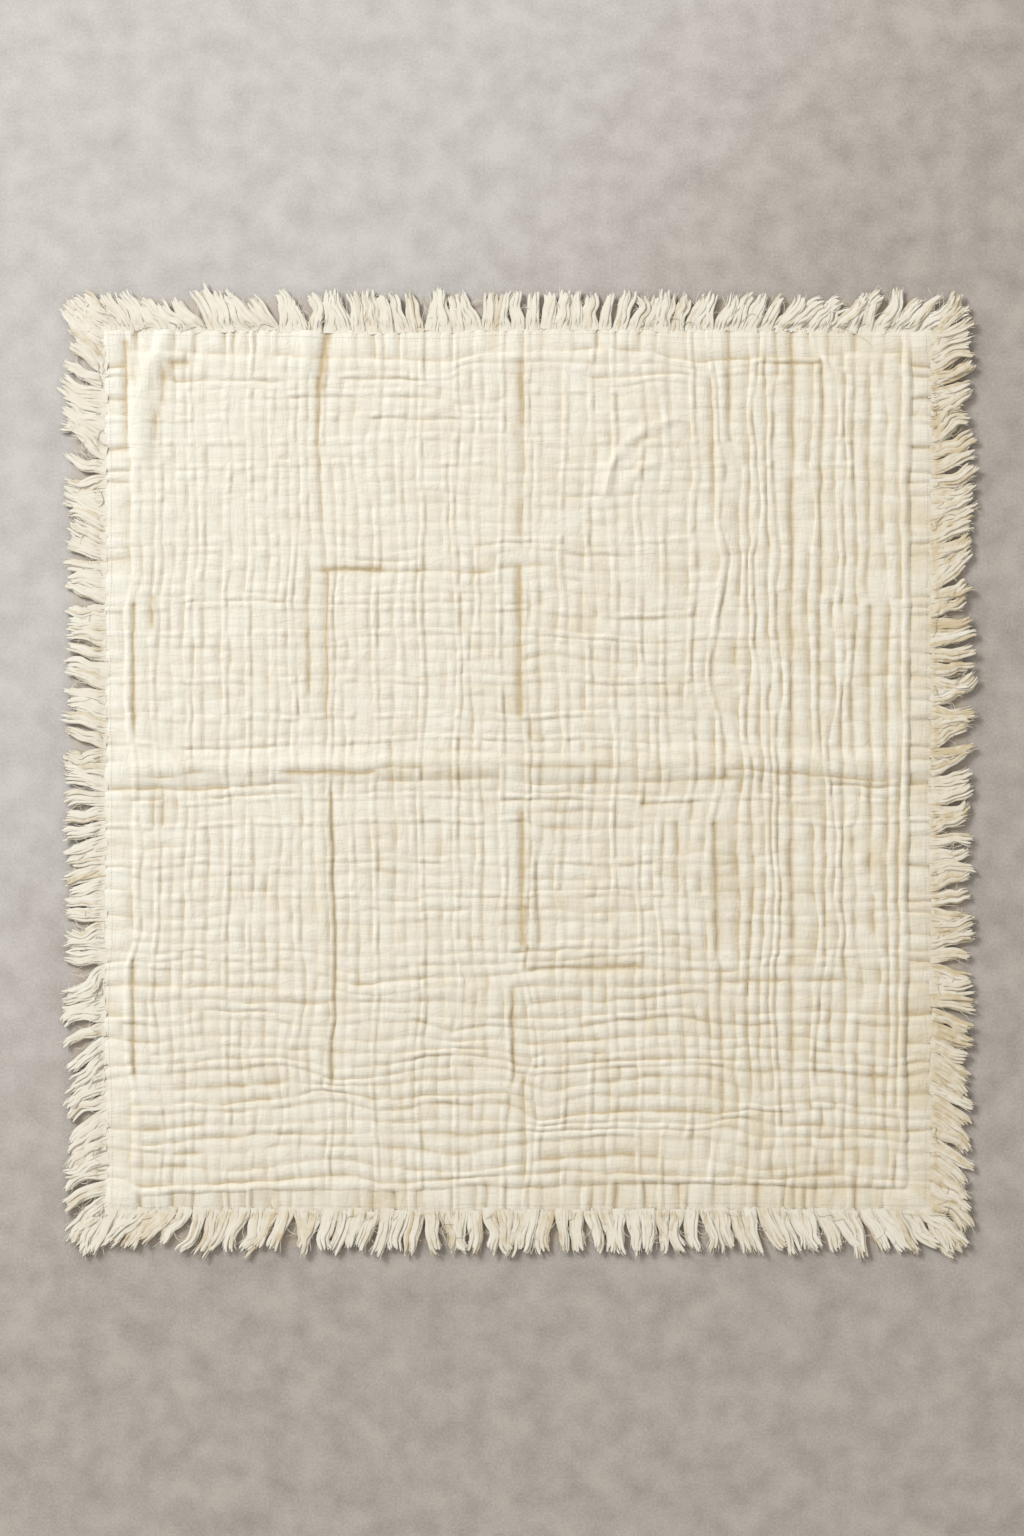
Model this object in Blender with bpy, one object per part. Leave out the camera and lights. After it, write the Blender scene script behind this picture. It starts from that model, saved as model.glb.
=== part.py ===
"""Swaddle blanket of crinkled cotton gauze with a yarn fringe on its four sides, laid flat.

Units are metres, +Z is up, and the blanket lies on the plane z = 0. The origin is below the middle
of the whole blanket, fringe included. +X runs along the shorter sides, +Y along the longer ones.

The cloth is one closed sheet. Its underside is flat but for one soft fold ridge that stands up
across the middle. Its upper face carries the crinkle: ribs that run down the cloth over most of its
length, and ribs that sweep across it in the lower part. Each side has a narrow strip, parted from
the cloth's edge, from which the fringe's tufts, here called locks, fan out over the surface.
"""

import math
import random
from collections import namedtuple

import bmesh
import bpy
from mathutils import Matrix
from mathutils import Vector

# ---- Driving sizes of the cloth ----
CLOTH_WIDTH = 0.908
CLOTH_LENGTH = 0.967
HEM_WIDTH = 0.028
DOWN_RIBS = 65          # ribs that run down the cloth, from hem to hem
ACROSS_RIBS = 17        # ribs that sweep across the lower part
CRINKLE_CHANGE = -0.236  # Y where the ribs change from running down to sweeping across

# ---- Thickness of the gauze layers, measured through the sheet ----
RIB_THICKNESS = 0.0029
FURROW_THICKNESS = 0.0017
HEM_THICKNESS = 0.0022
HEM_CRINKLE = 0.0004    # what a rib adds where it runs out over the hem
EDGE_THICKNESS = 0.0016
GROOVE_THICKNESS = 0.0013

# ---- Unevenness of the lying cloth ----
EDGE_WAVE = 0.0014      # how far the cut edges stray from straight
RIB_WANDER = 0.0042     # how far the ribs that run down stray sideways
SWEEP = 0.0070          # how far the ribs that run across bow up and down
PUFF = 0.00018          # slow swelling and sinking of the upper face

# ---- Main fold ridge, across the whole cloth ----
RIDGE_LIFT = 0.0046
RIDGE_ROWS = (0.034, 0.022, 0.010, -0.003, -0.014)  # Y of its foot, flank, crest, flank and foot
RIDGE_FADE = 0.050      # distance from a side edge over which the ridge lies down

# ---- Fold marks: shallow creases where the blanket was folded for storage ----
FoldMark = namedtuple("FoldMark", "runs place half_width dip")
FOLD_MARKS = (
    FoldMark(runs="across", place=0.233, half_width=0.012, dip=0.0005),
    FoldMark(runs="across", place=-0.014, half_width=0.009, dip=0.0004),
    FoldMark(runs="across", place=-0.236, half_width=0.012, dip=0.0004),
    FoldMark(runs="down", place=-0.2115, half_width=0.007, dip=0.0005),
    FoldMark(runs="down", place=0.0015, half_width=0.007, dip=0.0005),
    FoldMark(runs="down", place=0.2257, half_width=0.007, dip=0.0005),
)
RIB_START = 0.009       # the ribs reach their height this far inside the hem's groove
OPEN_ROW_STEP = 0.078   # widest spacing of grid rows between the folds
COARSE_STEP = 5         # every fifth column goes on below the change of crinkle

# ---- Fringe ----
STRIP_GAP = 0.0003      # between the cloth's edge and the strip that holds the locks
STRIP_WIDTH = 0.0040
STRIP_THICKNESS = 0.0018
STRIP_END = 0.0040      # a strip stops this far short of the cloth's corners
LOCK_PITCH = 0.0158
LOCK_FILL = 0.66        # width of a lock as a share of the pitch
LOCK_BEND_AT = 0.52     # where along its length a lock bends
LOCK_MID_HEIGHT = 0.0030
LOCK_TIP_HEIGHT = 0.0017
LOCK_MID_WIDTH = 1.04   # widths as shares of the width at the root
LOCK_TIP_WIDTH = 0.74
LOCK_TOP_INSET = 0.74   # a lock's upper face is narrower than its flat underside
LEAN_JITTER = 2.0       # degrees
CURL_JITTER = 5.0       # degrees between a lock's root and its tip
SHORTEST_LOCK = 0.86    # share of the full reach
FRINGE_SEED = 31

# One row a side. "along" and "outward" are directions, "wave" is the phase of the edge's waviness.
FringeSide = namedtuple("FringeSide", "name along outward reach wave leans")
# Lean of the locks, in degrees towards "along", at a share of the side's length.
Lean = namedtuple("Lean", "share degrees")
FRINGE_SIDES = (
    FringeSide(
        name="fringe_top", along=(1, 0), outward=(0, 1), reach=0.0440, wave=0.4,
        leans=(Lean(0.0, -46), Lean(0.12, -37), Lean(0.35, -17), Lean(0.5, -1), Lean(0.7, 19),
               Lean(1.0, 42)),
    ),
    FringeSide(
        name="fringe_bottom", along=(1, 0), outward=(0, -1), reach=0.0485, wave=2.1,
        leans=(Lean(0.0, -38), Lean(0.15, -33), Lean(0.35, -12), Lean(0.5, 0), Lean(0.65, 6),
               Lean(0.8, 24), Lean(1.0, 40)),
    ),
    FringeSide(
        name="fringe_left", along=(0, 1), outward=(-1, 0), reach=0.0470, wave=3.3,
        leans=(Lean(0.0, -42), Lean(0.18, -34), Lean(0.3, -8), Lean(0.55, 2), Lean(0.75, 13),
               Lean(0.9, 30), Lean(1.0, 39)),
    ),
    FringeSide(
        name="fringe_right", along=(0, 1), outward=(1, 0), reach=0.0470, wave=5.0,
        leans=(Lean(0.0, -42), Lean(0.15, -34), Lean(0.26, -6), Lean(0.4, 8), Lean(0.55, 18),
               Lean(0.8, 27), Lean(1.0, 32)),
    ),
)

# ---- Finishes ----
Finish = namedtuple("Finish", "name colour roughness")
GAUZE = Finish(name="crinkled_cotton_gauze", colour=(0.80, 0.74, 0.61), roughness=0.92)
YARN = Finish(name="cotton_fringe_yarn", colour=(0.82, 0.76, 0.63), roughness=0.95)
CRINKLE_CREASE = 4      # degrees: bends sharper than this keep a crisp edge, as the ribs do
LOCK_CREASE = 50        # degrees

HALF_WIDTH = CLOTH_WIDTH / 2
HALF_LENGTH = CLOTH_LENGTH / 2
TOUCH = 1e-6


def smooth(low, high, value):
    """Rise smoothly from 0 at low to 1 at high."""
    share = min(1.0, max(0.0, (value - low) / (high - low)))
    return share * share * (3.0 - 2.0 * share)


def edge_wave(side, distance):
    """How far the cloth's edge strays outward, at a distance from the middle of that side."""
    slow = math.sin(2 * math.pi * distance / 0.62 + side.wave)
    quick = math.sin(2 * math.pi * distance / 0.27 + 2.7 * side.wave)
    return EDGE_WAVE * (0.65 * slow + 0.35 * quick)


def inset(x, y):
    """Distance of a grid point from the nearest edge of the cloth."""
    return min(HALF_WIDTH - abs(x), HALF_LENGTH - abs(y))


def lie(x, y):
    """Where a point of the straight grid really lies, with wavy edges and wandering ribs."""
    top, bottom, left, right = FRINGE_SIDES
    across = x / CLOTH_WIDTH + 0.5
    up = y / CLOTH_LENGTH + 0.5
    edge_x = across * edge_wave(right, y) - (1 - across) * edge_wave(left, y)
    edge_y = up * edge_wave(top, x) - (1 - up) * edge_wave(bottom, x)
    inner = smooth(HEM_WIDTH, 3 * HEM_WIDTH, inset(x, y))
    slow_wander = math.sin(2 * math.pi * (y / 0.36 + x / 0.55))
    quick_wander = math.sin(2 * math.pi * (y / 0.17 + x / 0.70))
    bow = math.cos(math.pi * (x - 0.08) / CLOTH_WIDTH)
    sweep = 0.55 * math.sin(2 * math.pi * (x / 0.41 + 0.1) + 4 * y) * smooth(-0.1, -0.3, y)
    return (
        x + edge_x + RIB_WANDER * inner * (slow_wander + 0.5 * quick_wander),
        y + edge_y + SWEEP * inner * (0.6 * bow + sweep),
    )


def fold_dip(x, y):
    """How much thinner the pressed fold marks leave the cloth at a point."""
    dip = 0.0
    for mark in FOLD_MARKS:
        away = abs((y if mark.runs == "across" else x) - mark.place)
        dip = max(dip, mark.dip * (1 - smooth(0, mark.half_width, away)))
    return dip


def ridge_lift(x, y):
    """Height of the underside over the surface: only the main fold ridge stands up."""
    upper_foot, _, crest, _, lower_foot = RIDGE_ROWS
    foot = upper_foot if y > crest else lower_foot
    share = abs((y - crest) / (foot - crest))
    if share > 1 - TOUCH:
        return 0.0
    fade = smooth(0, RIDGE_FADE, HALF_WIDTH - abs(x))
    return RIDGE_LIFT * fade * 0.5 * (1 + math.cos(math.pi * share))


def thickness(x, y, crown):
    """Thickness of the cloth where crown is 1 on a rib and 0 in a furrow."""
    depth = inset(x, y)
    if depth < TOUCH:
        return EDGE_THICKNESS + 0.5 * HEM_CRINKLE * crown
    if abs(depth - HEM_WIDTH) < TOUCH:
        return GROOVE_THICKNESS
    if depth < HEM_WIDTH:
        return HEM_THICKNESS + HEM_CRINKLE * crown
    strong_side = smooth(-0.10, 0.25, x)
    strength = 0.72 + 0.28 * strong_side + 0.1 * math.sin(21 * y + 13 * x)
    puff = PUFF * (math.sin(17 * x + 5 * y) + math.sin(23 * y - 11 * x))
    full = FURROW_THICKNESS + (RIB_THICKNESS - FURROW_THICKNESS) * crown * min(1.0, strength)
    return full - fold_dip(x, y) + puff


def spread(stops, step):
    """Put evenly spaced places between falling stops that are more than a step apart."""
    places = [stops[0]]
    for start, end in zip(stops, stops[1:]):
        count = math.ceil((start - end) / step)
        places += [start + (end - start) * k / count for k in range(1, count)]
        places.append(end)
    return places


def down_columns():
    """X and crown of every grid column: hem, then rib top and furrow in turn, then hem."""
    groove = HALF_WIDTH - HEM_WIDTH
    columns = [(-HALF_WIDTH, 0.5), (-HALF_WIDTH + HEM_WIDTH / 2, 1.0), (-groove, 0.0)]
    step = groove / DOWN_RIBS
    for k in range(1, 2 * DOWN_RIBS):
        columns.append((-groove + k * step, float(k % 2)))
    columns += [(groove, 0.0), (HALF_WIDTH - HEM_WIDTH / 2, 1.0), (HALF_WIDTH, 0.5)]
    return columns


def upper_rows():
    """Y of the rows from the top edge down to where the crinkle changes."""
    groove = HALF_LENGTH - HEM_WIDTH
    fold = FOLD_MARKS[0].place
    open_rows = [groove] + spread([groove - RIB_START, fold, RIDGE_ROWS[0]], OPEN_ROW_STEP)
    below = spread([RIDGE_ROWS[-1], CRINKLE_CHANGE], OPEN_ROW_STEP)
    return [HALF_LENGTH] + open_rows + list(RIDGE_ROWS[1:-1]) + below


def lower_rows():
    """Y and crown of the rows below the change of crinkle, down to the bottom edge."""
    groove = -HALF_LENGTH + HEM_WIDTH
    step = (CRINKLE_CHANGE - groove) / (2 * ACROSS_RIBS)
    rows = [(CRINKLE_CHANGE - k * step, float(k % 2)) for k in range(1, 2 * ACROSS_RIBS)]
    return rows + [(groove, 0.0), (-HALF_LENGTH + HEM_WIDTH / 2, 1.0), (-HALF_LENGTH, 0.5)]


def coarse_indices(count):
    """Indices of the columns that go on below the change of crinkle, hems included."""
    hem_points = 2
    inner = list(range(hem_points, count - hem_points, COARSE_STEP))
    beside_hems = [hem_points + 1, count - hem_points - 2]
    return sorted({0, 1, *inner, *beside_hems, count - 2, count - 1})


def new_top_point(bm, x, y, crown):
    """Add a point of the upper face."""
    lying_x, lying_y = lie(x, y)
    return bm.verts.new((lying_x, lying_y, ridge_lift(x, y) + thickness(x, y, crown)))


def new_bottom_point(bm, x, y):
    """Add a point of the underside."""
    lying_x, lying_y = lie(x, y)
    return bm.verts.new((lying_x, lying_y, ridge_lift(x, y)))


def add_upper_face(bm, columns, rows):
    """Build the part of the face whose ribs run down, and return its rows of points."""
    grid = []
    for y in rows:
        fading = 1 - 0.6 * smooth(CRINKLE_CHANGE + 0.03, CRINKLE_CHANGE, y)
        grid.append([new_top_point(bm, x, y, crown * fading) for x, crown in columns])
    for above, below in zip(grid, grid[1:]):
        for k in range(len(columns) - 1):
            bm.faces.new((above[k], below[k], below[k + 1], above[k + 1]))
    return grid


def add_lower_face(bm, columns, coarse, first_row):
    """Build the part of the face whose ribs sweep across, below the last row of the upper part."""
    grid = []
    for y, crown in lower_rows():
        grid.append([new_top_point(bm, columns[k][0], y, crown) for k in coarse])
    for k, (start, end) in enumerate(zip(coarse, coarse[1:])):
        fan = list(reversed(first_row[start:end + 1]))
        bm.faces.new(fan + [grid[0][k], grid[0][k + 1]])
    for above, below in zip(grid, grid[1:]):
        for k in range(len(coarse) - 1):
            bm.faces.new((above[k], below[k], below[k + 1], above[k + 1]))
    return grid


def add_underside(bm, columns, coarse, rows, upper, lower):
    """Close the sheet with its side walls and an underside that rises under the fold ridge."""
    left = [row[0] for row in upper + lower]
    right = [row[-1] for row in upper + lower]
    rim_places = {}
    for row, y in zip(upper, rows):
        rim_places[row[0]] = (columns[0][0], y)
        rim_places[row[-1]] = (columns[-1][0], y)
    for row, (y, _) in zip(lower, lower_rows()):
        rim_places[row[0]] = (columns[0][0], y)
        rim_places[row[-1]] = (columns[-1][0], y)
    for point, (x, _) in zip(upper[0], columns):
        rim_places[point] = (x, HALF_LENGTH)
    for point, k in zip(lower[-1], coarse):
        rim_places[point] = (columns[k][0], -HALF_LENGTH)
    rim = upper[0][:-1] + right[:-1] + lower[-1][::-1] + left[-2:0:-1]
    feet = {point: new_bottom_point(bm, *rim_places[point]) for point in rim}
    for point, following in zip(rim, rim[1:] + rim[:1]):
        bm.faces.new((point, following, feet[following], feet[point]))

    first = rows.index(RIDGE_ROWS[0])
    last = rows.index(RIDGE_ROWS[-1])
    folds = []
    for k in range(first, last + 1):
        inner = [new_bottom_point(bm, columns[c][0], rows[k]) for c in coarse[1:-1]]
        folds.append([feet[left[k]]] + inner + [feet[right[k]]])
    for above, below in zip(folds, folds[1:]):
        for k in range(len(above) - 1):
            bm.faces.new((above[k], above[k + 1], below[k + 1], below[k]))
    top_rim = [feet[point] for point in left[first - 1:0:-1] + upper[0] + right[1:first]]
    bm.faces.new(top_rim + folds[0][::-1])
    low_rim = [feet[point] for point in right[last + 1:-1] + lower[-1][::-1] + left[-2:last:-1]]
    bm.faces.new(low_rim + folds[-1])


def build_cloth():
    """Build the blanket's cloth as one closed sheet, its hem included."""
    columns = down_columns()
    rows = upper_rows()
    coarse = coarse_indices(len(columns))
    bm = bmesh.new()
    upper = add_upper_face(bm, columns, rows)
    lower = add_lower_face(bm, columns, coarse, upper[-1])
    add_underside(bm, columns, coarse, rows, upper, lower)
    return finish_object(bm, "cloth", GAUZE, CRINKLE_CREASE)


def side_length(side):
    """Length of the cloth's side that a fringe runs along."""
    return CLOTH_WIDTH if side.along[0] else CLOTH_LENGTH


def side_point(side, distance, outward, height):
    """A point at a distance along a side from its middle, and outward of the cloth's edge."""
    half_depth = HALF_LENGTH if side.along[0] else HALF_WIDTH
    out = half_depth + edge_wave(side, distance) + outward
    along = Vector(side.along) * distance + Vector(side.outward) * out
    return Vector((along.x, along.y, height))


def lean_at(side, share):
    """Lean of the locks, in degrees, read between the rows of the side's table."""
    for low, high in zip(side.leans, side.leans[1:]):
        if share <= high.share:
            part = (share - low.share) / (high.share - low.share)
            return low.degrees + part * (high.degrees - low.degrees)
    return side.leans[-1].degrees


def lock_axes(side, degrees):
    """Unit direction of a lock that leans by an angle, and the unit vector to its far side."""
    lean = math.radians(degrees)
    along = Vector((*side.along, 0))
    outward = Vector((*side.outward, 0))
    direction = along * math.sin(lean) + outward * math.cos(lean)
    far_side = along * math.cos(lean) - outward * math.sin(lean)
    return direction, far_side


def add_section(bm, centre, far_side, width, height):
    """Add the four corners of a lock's cross section, its flat underside on the surface."""
    half = far_side * (width / 2)
    up = Vector((0, 0, height))
    return [
        bm.verts.new(centre - half),
        bm.verts.new(centre + half),
        bm.verts.new(centre + half * LOCK_TOP_INSET + up),
        bm.verts.new(centre - half * LOCK_TOP_INSET + up),
    ]


def add_lock(bm, side, root, share, centre, chance):
    """Grow one lock from its root on the strip, over one bend to its cut tip."""
    lean = lean_at(side, share) + chance.uniform(-LEAN_JITTER, LEAN_JITTER)
    curl = chance.uniform(-CURL_JITTER, CURL_JITTER)
    slant = math.cos(math.radians(lean))
    reach = (side.reach - STRIP_WIDTH) * chance.uniform(SHORTEST_LOCK, 1.0)
    length = reach / slant ** 0.6
    width = LOCK_PITCH * LOCK_FILL * slant
    bend_direction, bend_far = lock_axes(side, lean)
    tip_direction, tip_far = lock_axes(side, lean + curl)
    bend = centre + bend_direction * (length * LOCK_BEND_AT)
    tip = bend + tip_direction * (length * (1 - LOCK_BEND_AT))
    middle = add_section(bm, bend, bend_far, width * LOCK_MID_WIDTH, LOCK_MID_HEIGHT)
    end = add_section(bm, tip, tip_far, width * LOCK_TIP_WIDTH, LOCK_TIP_HEIGHT)
    for near, far in ((root, middle), (middle, end)):
        for k in range(4):
            following = (k + 1) % 4
            bm.faces.new((near[k], near[following], far[following], far[k]))
    bm.faces.new(end)


def add_strip_end(bm, side, distance):
    """Add the low and high corner on the outer edge of the strip, at a distance along the side."""
    outer = STRIP_GAP + STRIP_WIDTH
    low = bm.verts.new(side_point(side, distance, outer, 0))
    high = bm.verts.new(side_point(side, distance, outer, STRIP_THICKNESS))
    return low, high


def build_fringe(side, chance):
    """Build one side's strip with all of its locks, as one closed body."""
    length = side_length(side) - 2 * STRIP_END
    count = round(length / LOCK_PITCH)
    pitch = length / count
    half_root = pitch * LOCK_FILL / 2
    bm = bmesh.new()
    inner_low = []
    inner_high = []
    for k in range(count + 1):
        distance = k * pitch - length / 2
        inner_low.append(bm.verts.new(side_point(side, distance, STRIP_GAP, 0)))
        inner_high.append(bm.verts.new(side_point(side, distance, STRIP_GAP, STRIP_THICKNESS)))
    outer_low = []
    outer_high = []
    for k in range(count):
        distance = (k + 0.5) * pitch - length / 2
        near_low, near_high = add_strip_end(bm, side, distance - half_root)
        far_low, far_high = add_strip_end(bm, side, distance + half_root)
        root = [near_low, far_low, far_high, near_high]
        centre = side_point(side, distance, STRIP_GAP + STRIP_WIDTH, 0)
        add_lock(bm, side, root, (k + 0.5) / count, centre, chance)
        outer_low.append([near_low, far_low])
        outer_high.append([near_high, far_high])
    first = add_strip_end(bm, side, -length / 2)
    last = add_strip_end(bm, side, length / 2)
    edge_low = [first[0]] + [pair[1] for pair in outer_low]
    edge_high = [first[1]] + [pair[1] for pair in outer_high]
    for k in range(count):
        end_low = [last[0]] if k == count - 1 else []
        end_high = [last[1]] if k == count - 1 else []
        low = [inner_low[k], edge_low[k]] + outer_low[k] + end_low + [inner_low[k + 1]]
        high = [inner_high[k], edge_high[k]] + outer_high[k] + end_high + [inner_high[k + 1]]
        bm.faces.new(low)
        bm.faces.new(high)
        bm.faces.new((inner_low[k], inner_low[k + 1], inner_high[k + 1], inner_high[k]))
        bm.faces.new((edge_low[k], outer_low[k][0], outer_high[k][0], edge_high[k]))
    bm.faces.new((edge_low[-1], last[0], last[1], edge_high[-1]))
    bm.faces.new((inner_low[0], first[0], first[1], inner_high[0]))
    bm.faces.new((inner_low[-1], last[0], last[1], inner_high[-1]))
    return finish_object(bm, side.name, YARN, LOCK_CREASE)


def make_material(finish):
    """Return the finish's material, made once."""
    material = bpy.data.materials.get(finish.name)
    if material is None:
        material = bpy.data.materials.new(finish.name)
        material.use_nodes = True
        shader = material.node_tree.nodes["Principled BSDF"]
        shader.inputs["Base Color"].default_value = (*finish.colour, 1)
        shader.inputs["Roughness"].default_value = finish.roughness
        shader.inputs["Metallic"].default_value = 0.0
        material.diffuse_color = (*finish.colour, 1)
    return material


def finish_object(bm, name, finish, crease_angle):
    """Turn a built shape into a named object, its faces pointing out, shaded smooth up to an angle."""
    bmesh.ops.recalc_face_normals(bm, faces=bm.faces)
    mesh = bpy.data.meshes.new(name)
    bm.to_mesh(mesh)
    bm.free()
    mesh.materials.append(make_material(finish))
    mesh.shade_smooth()
    mesh.set_sharp_from_angle(angle=math.radians(crease_angle))
    item = bpy.data.objects.new(name, mesh)
    bpy.context.scene.collection.objects.link(item)
    return item


def centre_on_origin(items):
    """Move all pieces together so that the whole blanket is centred over the origin."""
    points = [point.co for item in items for point in item.data.vertices]
    middle_x = (min(p.x for p in points) + max(p.x for p in points)) / 2
    middle_y = (min(p.y for p in points) + max(p.y for p in points)) / 2
    for item in items:
        item.data.transform(Matrix.Translation((-middle_x, -middle_y, 0)))


def main():
    """Build the cloth and its four fringes."""
    for item in list(bpy.data.objects):
        bpy.data.objects.remove(item)
    chance = random.Random(FRINGE_SEED)
    items = [build_cloth()]
    items += [build_fringe(side, chance) for side in FRINGE_SIDES]
    centre_on_origin(items)


main()
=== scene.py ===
"""Looks of the swaddle blanket: crinkled cotton gauze with a yarn fringe, laid flat.

Everything is in metres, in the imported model's frame: +Z up, the blanket lying on z = 0. The cloth
is worked out in its own frame, centred on the cloth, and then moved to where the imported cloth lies.
"""

import logging
import math
import random
from dataclasses import dataclass, field
from enum import Enum
from typing import Iterable

import bpy
import numpy as np
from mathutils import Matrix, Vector


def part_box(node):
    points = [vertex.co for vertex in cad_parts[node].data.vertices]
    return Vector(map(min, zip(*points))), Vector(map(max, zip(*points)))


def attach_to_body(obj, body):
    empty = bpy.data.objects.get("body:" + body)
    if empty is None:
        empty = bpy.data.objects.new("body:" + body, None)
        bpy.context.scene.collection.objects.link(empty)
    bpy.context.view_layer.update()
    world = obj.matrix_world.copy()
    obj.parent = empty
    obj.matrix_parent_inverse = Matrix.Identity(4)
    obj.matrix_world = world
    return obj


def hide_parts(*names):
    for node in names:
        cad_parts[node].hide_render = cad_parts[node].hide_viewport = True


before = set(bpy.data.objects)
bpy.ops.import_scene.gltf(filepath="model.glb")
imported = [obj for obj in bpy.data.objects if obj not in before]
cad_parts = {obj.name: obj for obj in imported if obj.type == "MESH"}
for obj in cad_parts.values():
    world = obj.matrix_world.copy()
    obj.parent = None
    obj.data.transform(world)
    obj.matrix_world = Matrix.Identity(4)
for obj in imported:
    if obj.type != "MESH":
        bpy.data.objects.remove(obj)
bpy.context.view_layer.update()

logging.basicConfig(level=logging.INFO, format="%(name)s: %(message)s")
LOG = logging.getLogger("blanket")

Array = np.ndarray
Table = dict[str, np.ndarray]
Socket = bpy.types.NodeSocket

MM = 0.001
TURN = 2 * math.pi

# ---- What the photograph shows, and how large that is ----
PHOTO_WIDTH_PX = 1024
PHOTO_HEIGHT_PX = 1536
BLANKET_WIDTH_PX = 917          # tip to tip of the fringe, left to right
BLANKET_MIDDLE_PX = (518.5, 772.0)
BLANKET_WIDTH = 1.002           # the same distance in metres
PIXEL = BLANKET_WIDTH / BLANKET_WIDTH_PX


class Run(Enum):
    """The way a family of furrows runs over the cloth."""

    DOWN = "down"
    ACROSS = "across"


@dataclass(frozen=True)
class Crease:
    """One crease that stands out, in millimetres from the middle of the blanket.

    A crease that runs down goes from one Y to another at an X, and one that runs across goes from
    one X to another at a Y. "at" and "at_end" are that X or Y at its two ends.
    """

    start: float
    end: float
    at: float
    at_end: float
    depth: float
    sunk: float = 0.0           # how far the rib beside the crease sinks with it
    bow: float = 0.0            # how far the middle strays from the straight line


# Columns: start, end, at, at_end, depth, sunk, bow
CREASES_DOWN = tuple(Crease(*row) for row in (
    # left hem's groove, top to bottom
    (478, 366, -430, -428, 1.6), (366, 200, -426, -424.5, 1.0), (190, 46, -421, -420, 1.8),
    (20, -200, -423, -421, 0.7), (-205, -334, -421, -420, 1.9), (-340, -452, -423, -425, 0.9),
    # beside it
    (229, 157, -399, -400, 1.3),
    (-9, -62, -398, -397, 1.5, 0.5), (-20, -60, -387, -386, 1.2, 0.4), (-160, -250, -409, -407, 1.3),
    # left fold line
    (485, 440, -211, -214, 1.4, 0.6), (440, 349, -216, -218, 1.6), (340, 225, -217, -212, 1.3),
    (222, 30, -208, -209, 1.6), (238, 88, -230, -229, 1.5),
    (-16, -342, -205, -204, 2.1, 0.0, 4), (330, 240, -201, -200, 1.1),
    (-300, -348, -211, -216, 1.1),
    # middle fold line
    (483, 370, -5, -6, 1.5), (483, 235, 6, 5, 1.4), (443, 384, 0, 1, 1.4, 0.8),
    (222, 67, 0, 3, 2.1), (57, 26, 15, 14, 1.5, 0.5), (-47, -190, 3, 5, 2.1, 0.3),
    (-98, -192, 20, 22, 1.7), (-185, -225, 7, 6, 1.4), (-236, -345, -6, -7, 1.5, 0.3),
    (-333, -445, 5, 6, 1.7),
    # right fold line
    (435, 286, 211, 212, 1.6), (490, 350, 228, 229, 1.8), (236, 97, 231, 207, 1.6, 0.0, -1.5),
    (60, -10, 213, 214, 1.3), (-52, -143, 174, 174, 1.6, 0.3), (-54, -195, 214, 217, 1.7, 0.4),
    (-250, -385, 220, 224, 1.4),
    # long furrows of the right side, down to the lower part
    (470, 30, 251, 250, 1.5), (20, -235, 255, 253, 1.5), (460, 130, 270, 273, 1.6),
    (455, -30, 298, 296, 1.9), (-40, -330, 297, 299, 1.9), (455, 20, 331, 329, 1.7),
    (0, -230, 336, 334, 1.5), (80, -300, 352, 356, 1.6), (450, 200, 384, 380, 1.6),
    (180, -120, 383, 384, 1.5), (160, -90, 403, 402, 1.5), (-100, -345, 403, 404, 1.5),
    (475, 260, 420, 416, 1.4, 0.0, -2), (260, -10, 416, 417, 1.7), (-10, -360, 416, 413, 1.9),
    (470, 200, 430, 428, 1.0), (200, -60, 428, 427, 0.8), (-60, -440, 426, 424, 1.1),
    # short furrows that run out over the top and the bottom hem
    (490, 455, -311, -311, 1.9), (488, 440, -148, -147, 1.1), (488, 445, -102, -103, 1.1),
    (488, 448, 338, 336, 1.3, 0.4), (488, 450, 60, 61, 1.0), (488, 450, 120, 119, 0.9),
    (-445, -481, -247, -249, 1.1), (-445, -481, -223, -224, 1.1), (-448, -481, -157, -160, 1.2, 0.7),
    (-448, -481, -110, -112, 1.2, 0.8), (-445, -481, -72, -72, 1.1), (-445, -481, -35, -36, 1.2, 0.4),
    (-448, -481, 12, 11, 1.0), (-448, -481, 27, 24, 1.0), (-446, -481, 68, 66, 1.3),
    (-446, -481, 98, 92, 1.3, 0.5), (-448, -481, 138, 138, 1.6, 0.4), (-448, -481, 175, 175, 1.2, 0.4),
    (-448, -481, 214, 211, 1.2, 0.3), (-444, -481, 260, 260, 1.7, 0.3), (-446, -481, 291, 290, 1.3),
    (-446, -481, 313, 312, 1.1), (-446, -481, 345, 342, 1.2, 0.3), (-446, -481, 369, 366, 1.6, 0.4),
))
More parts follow.
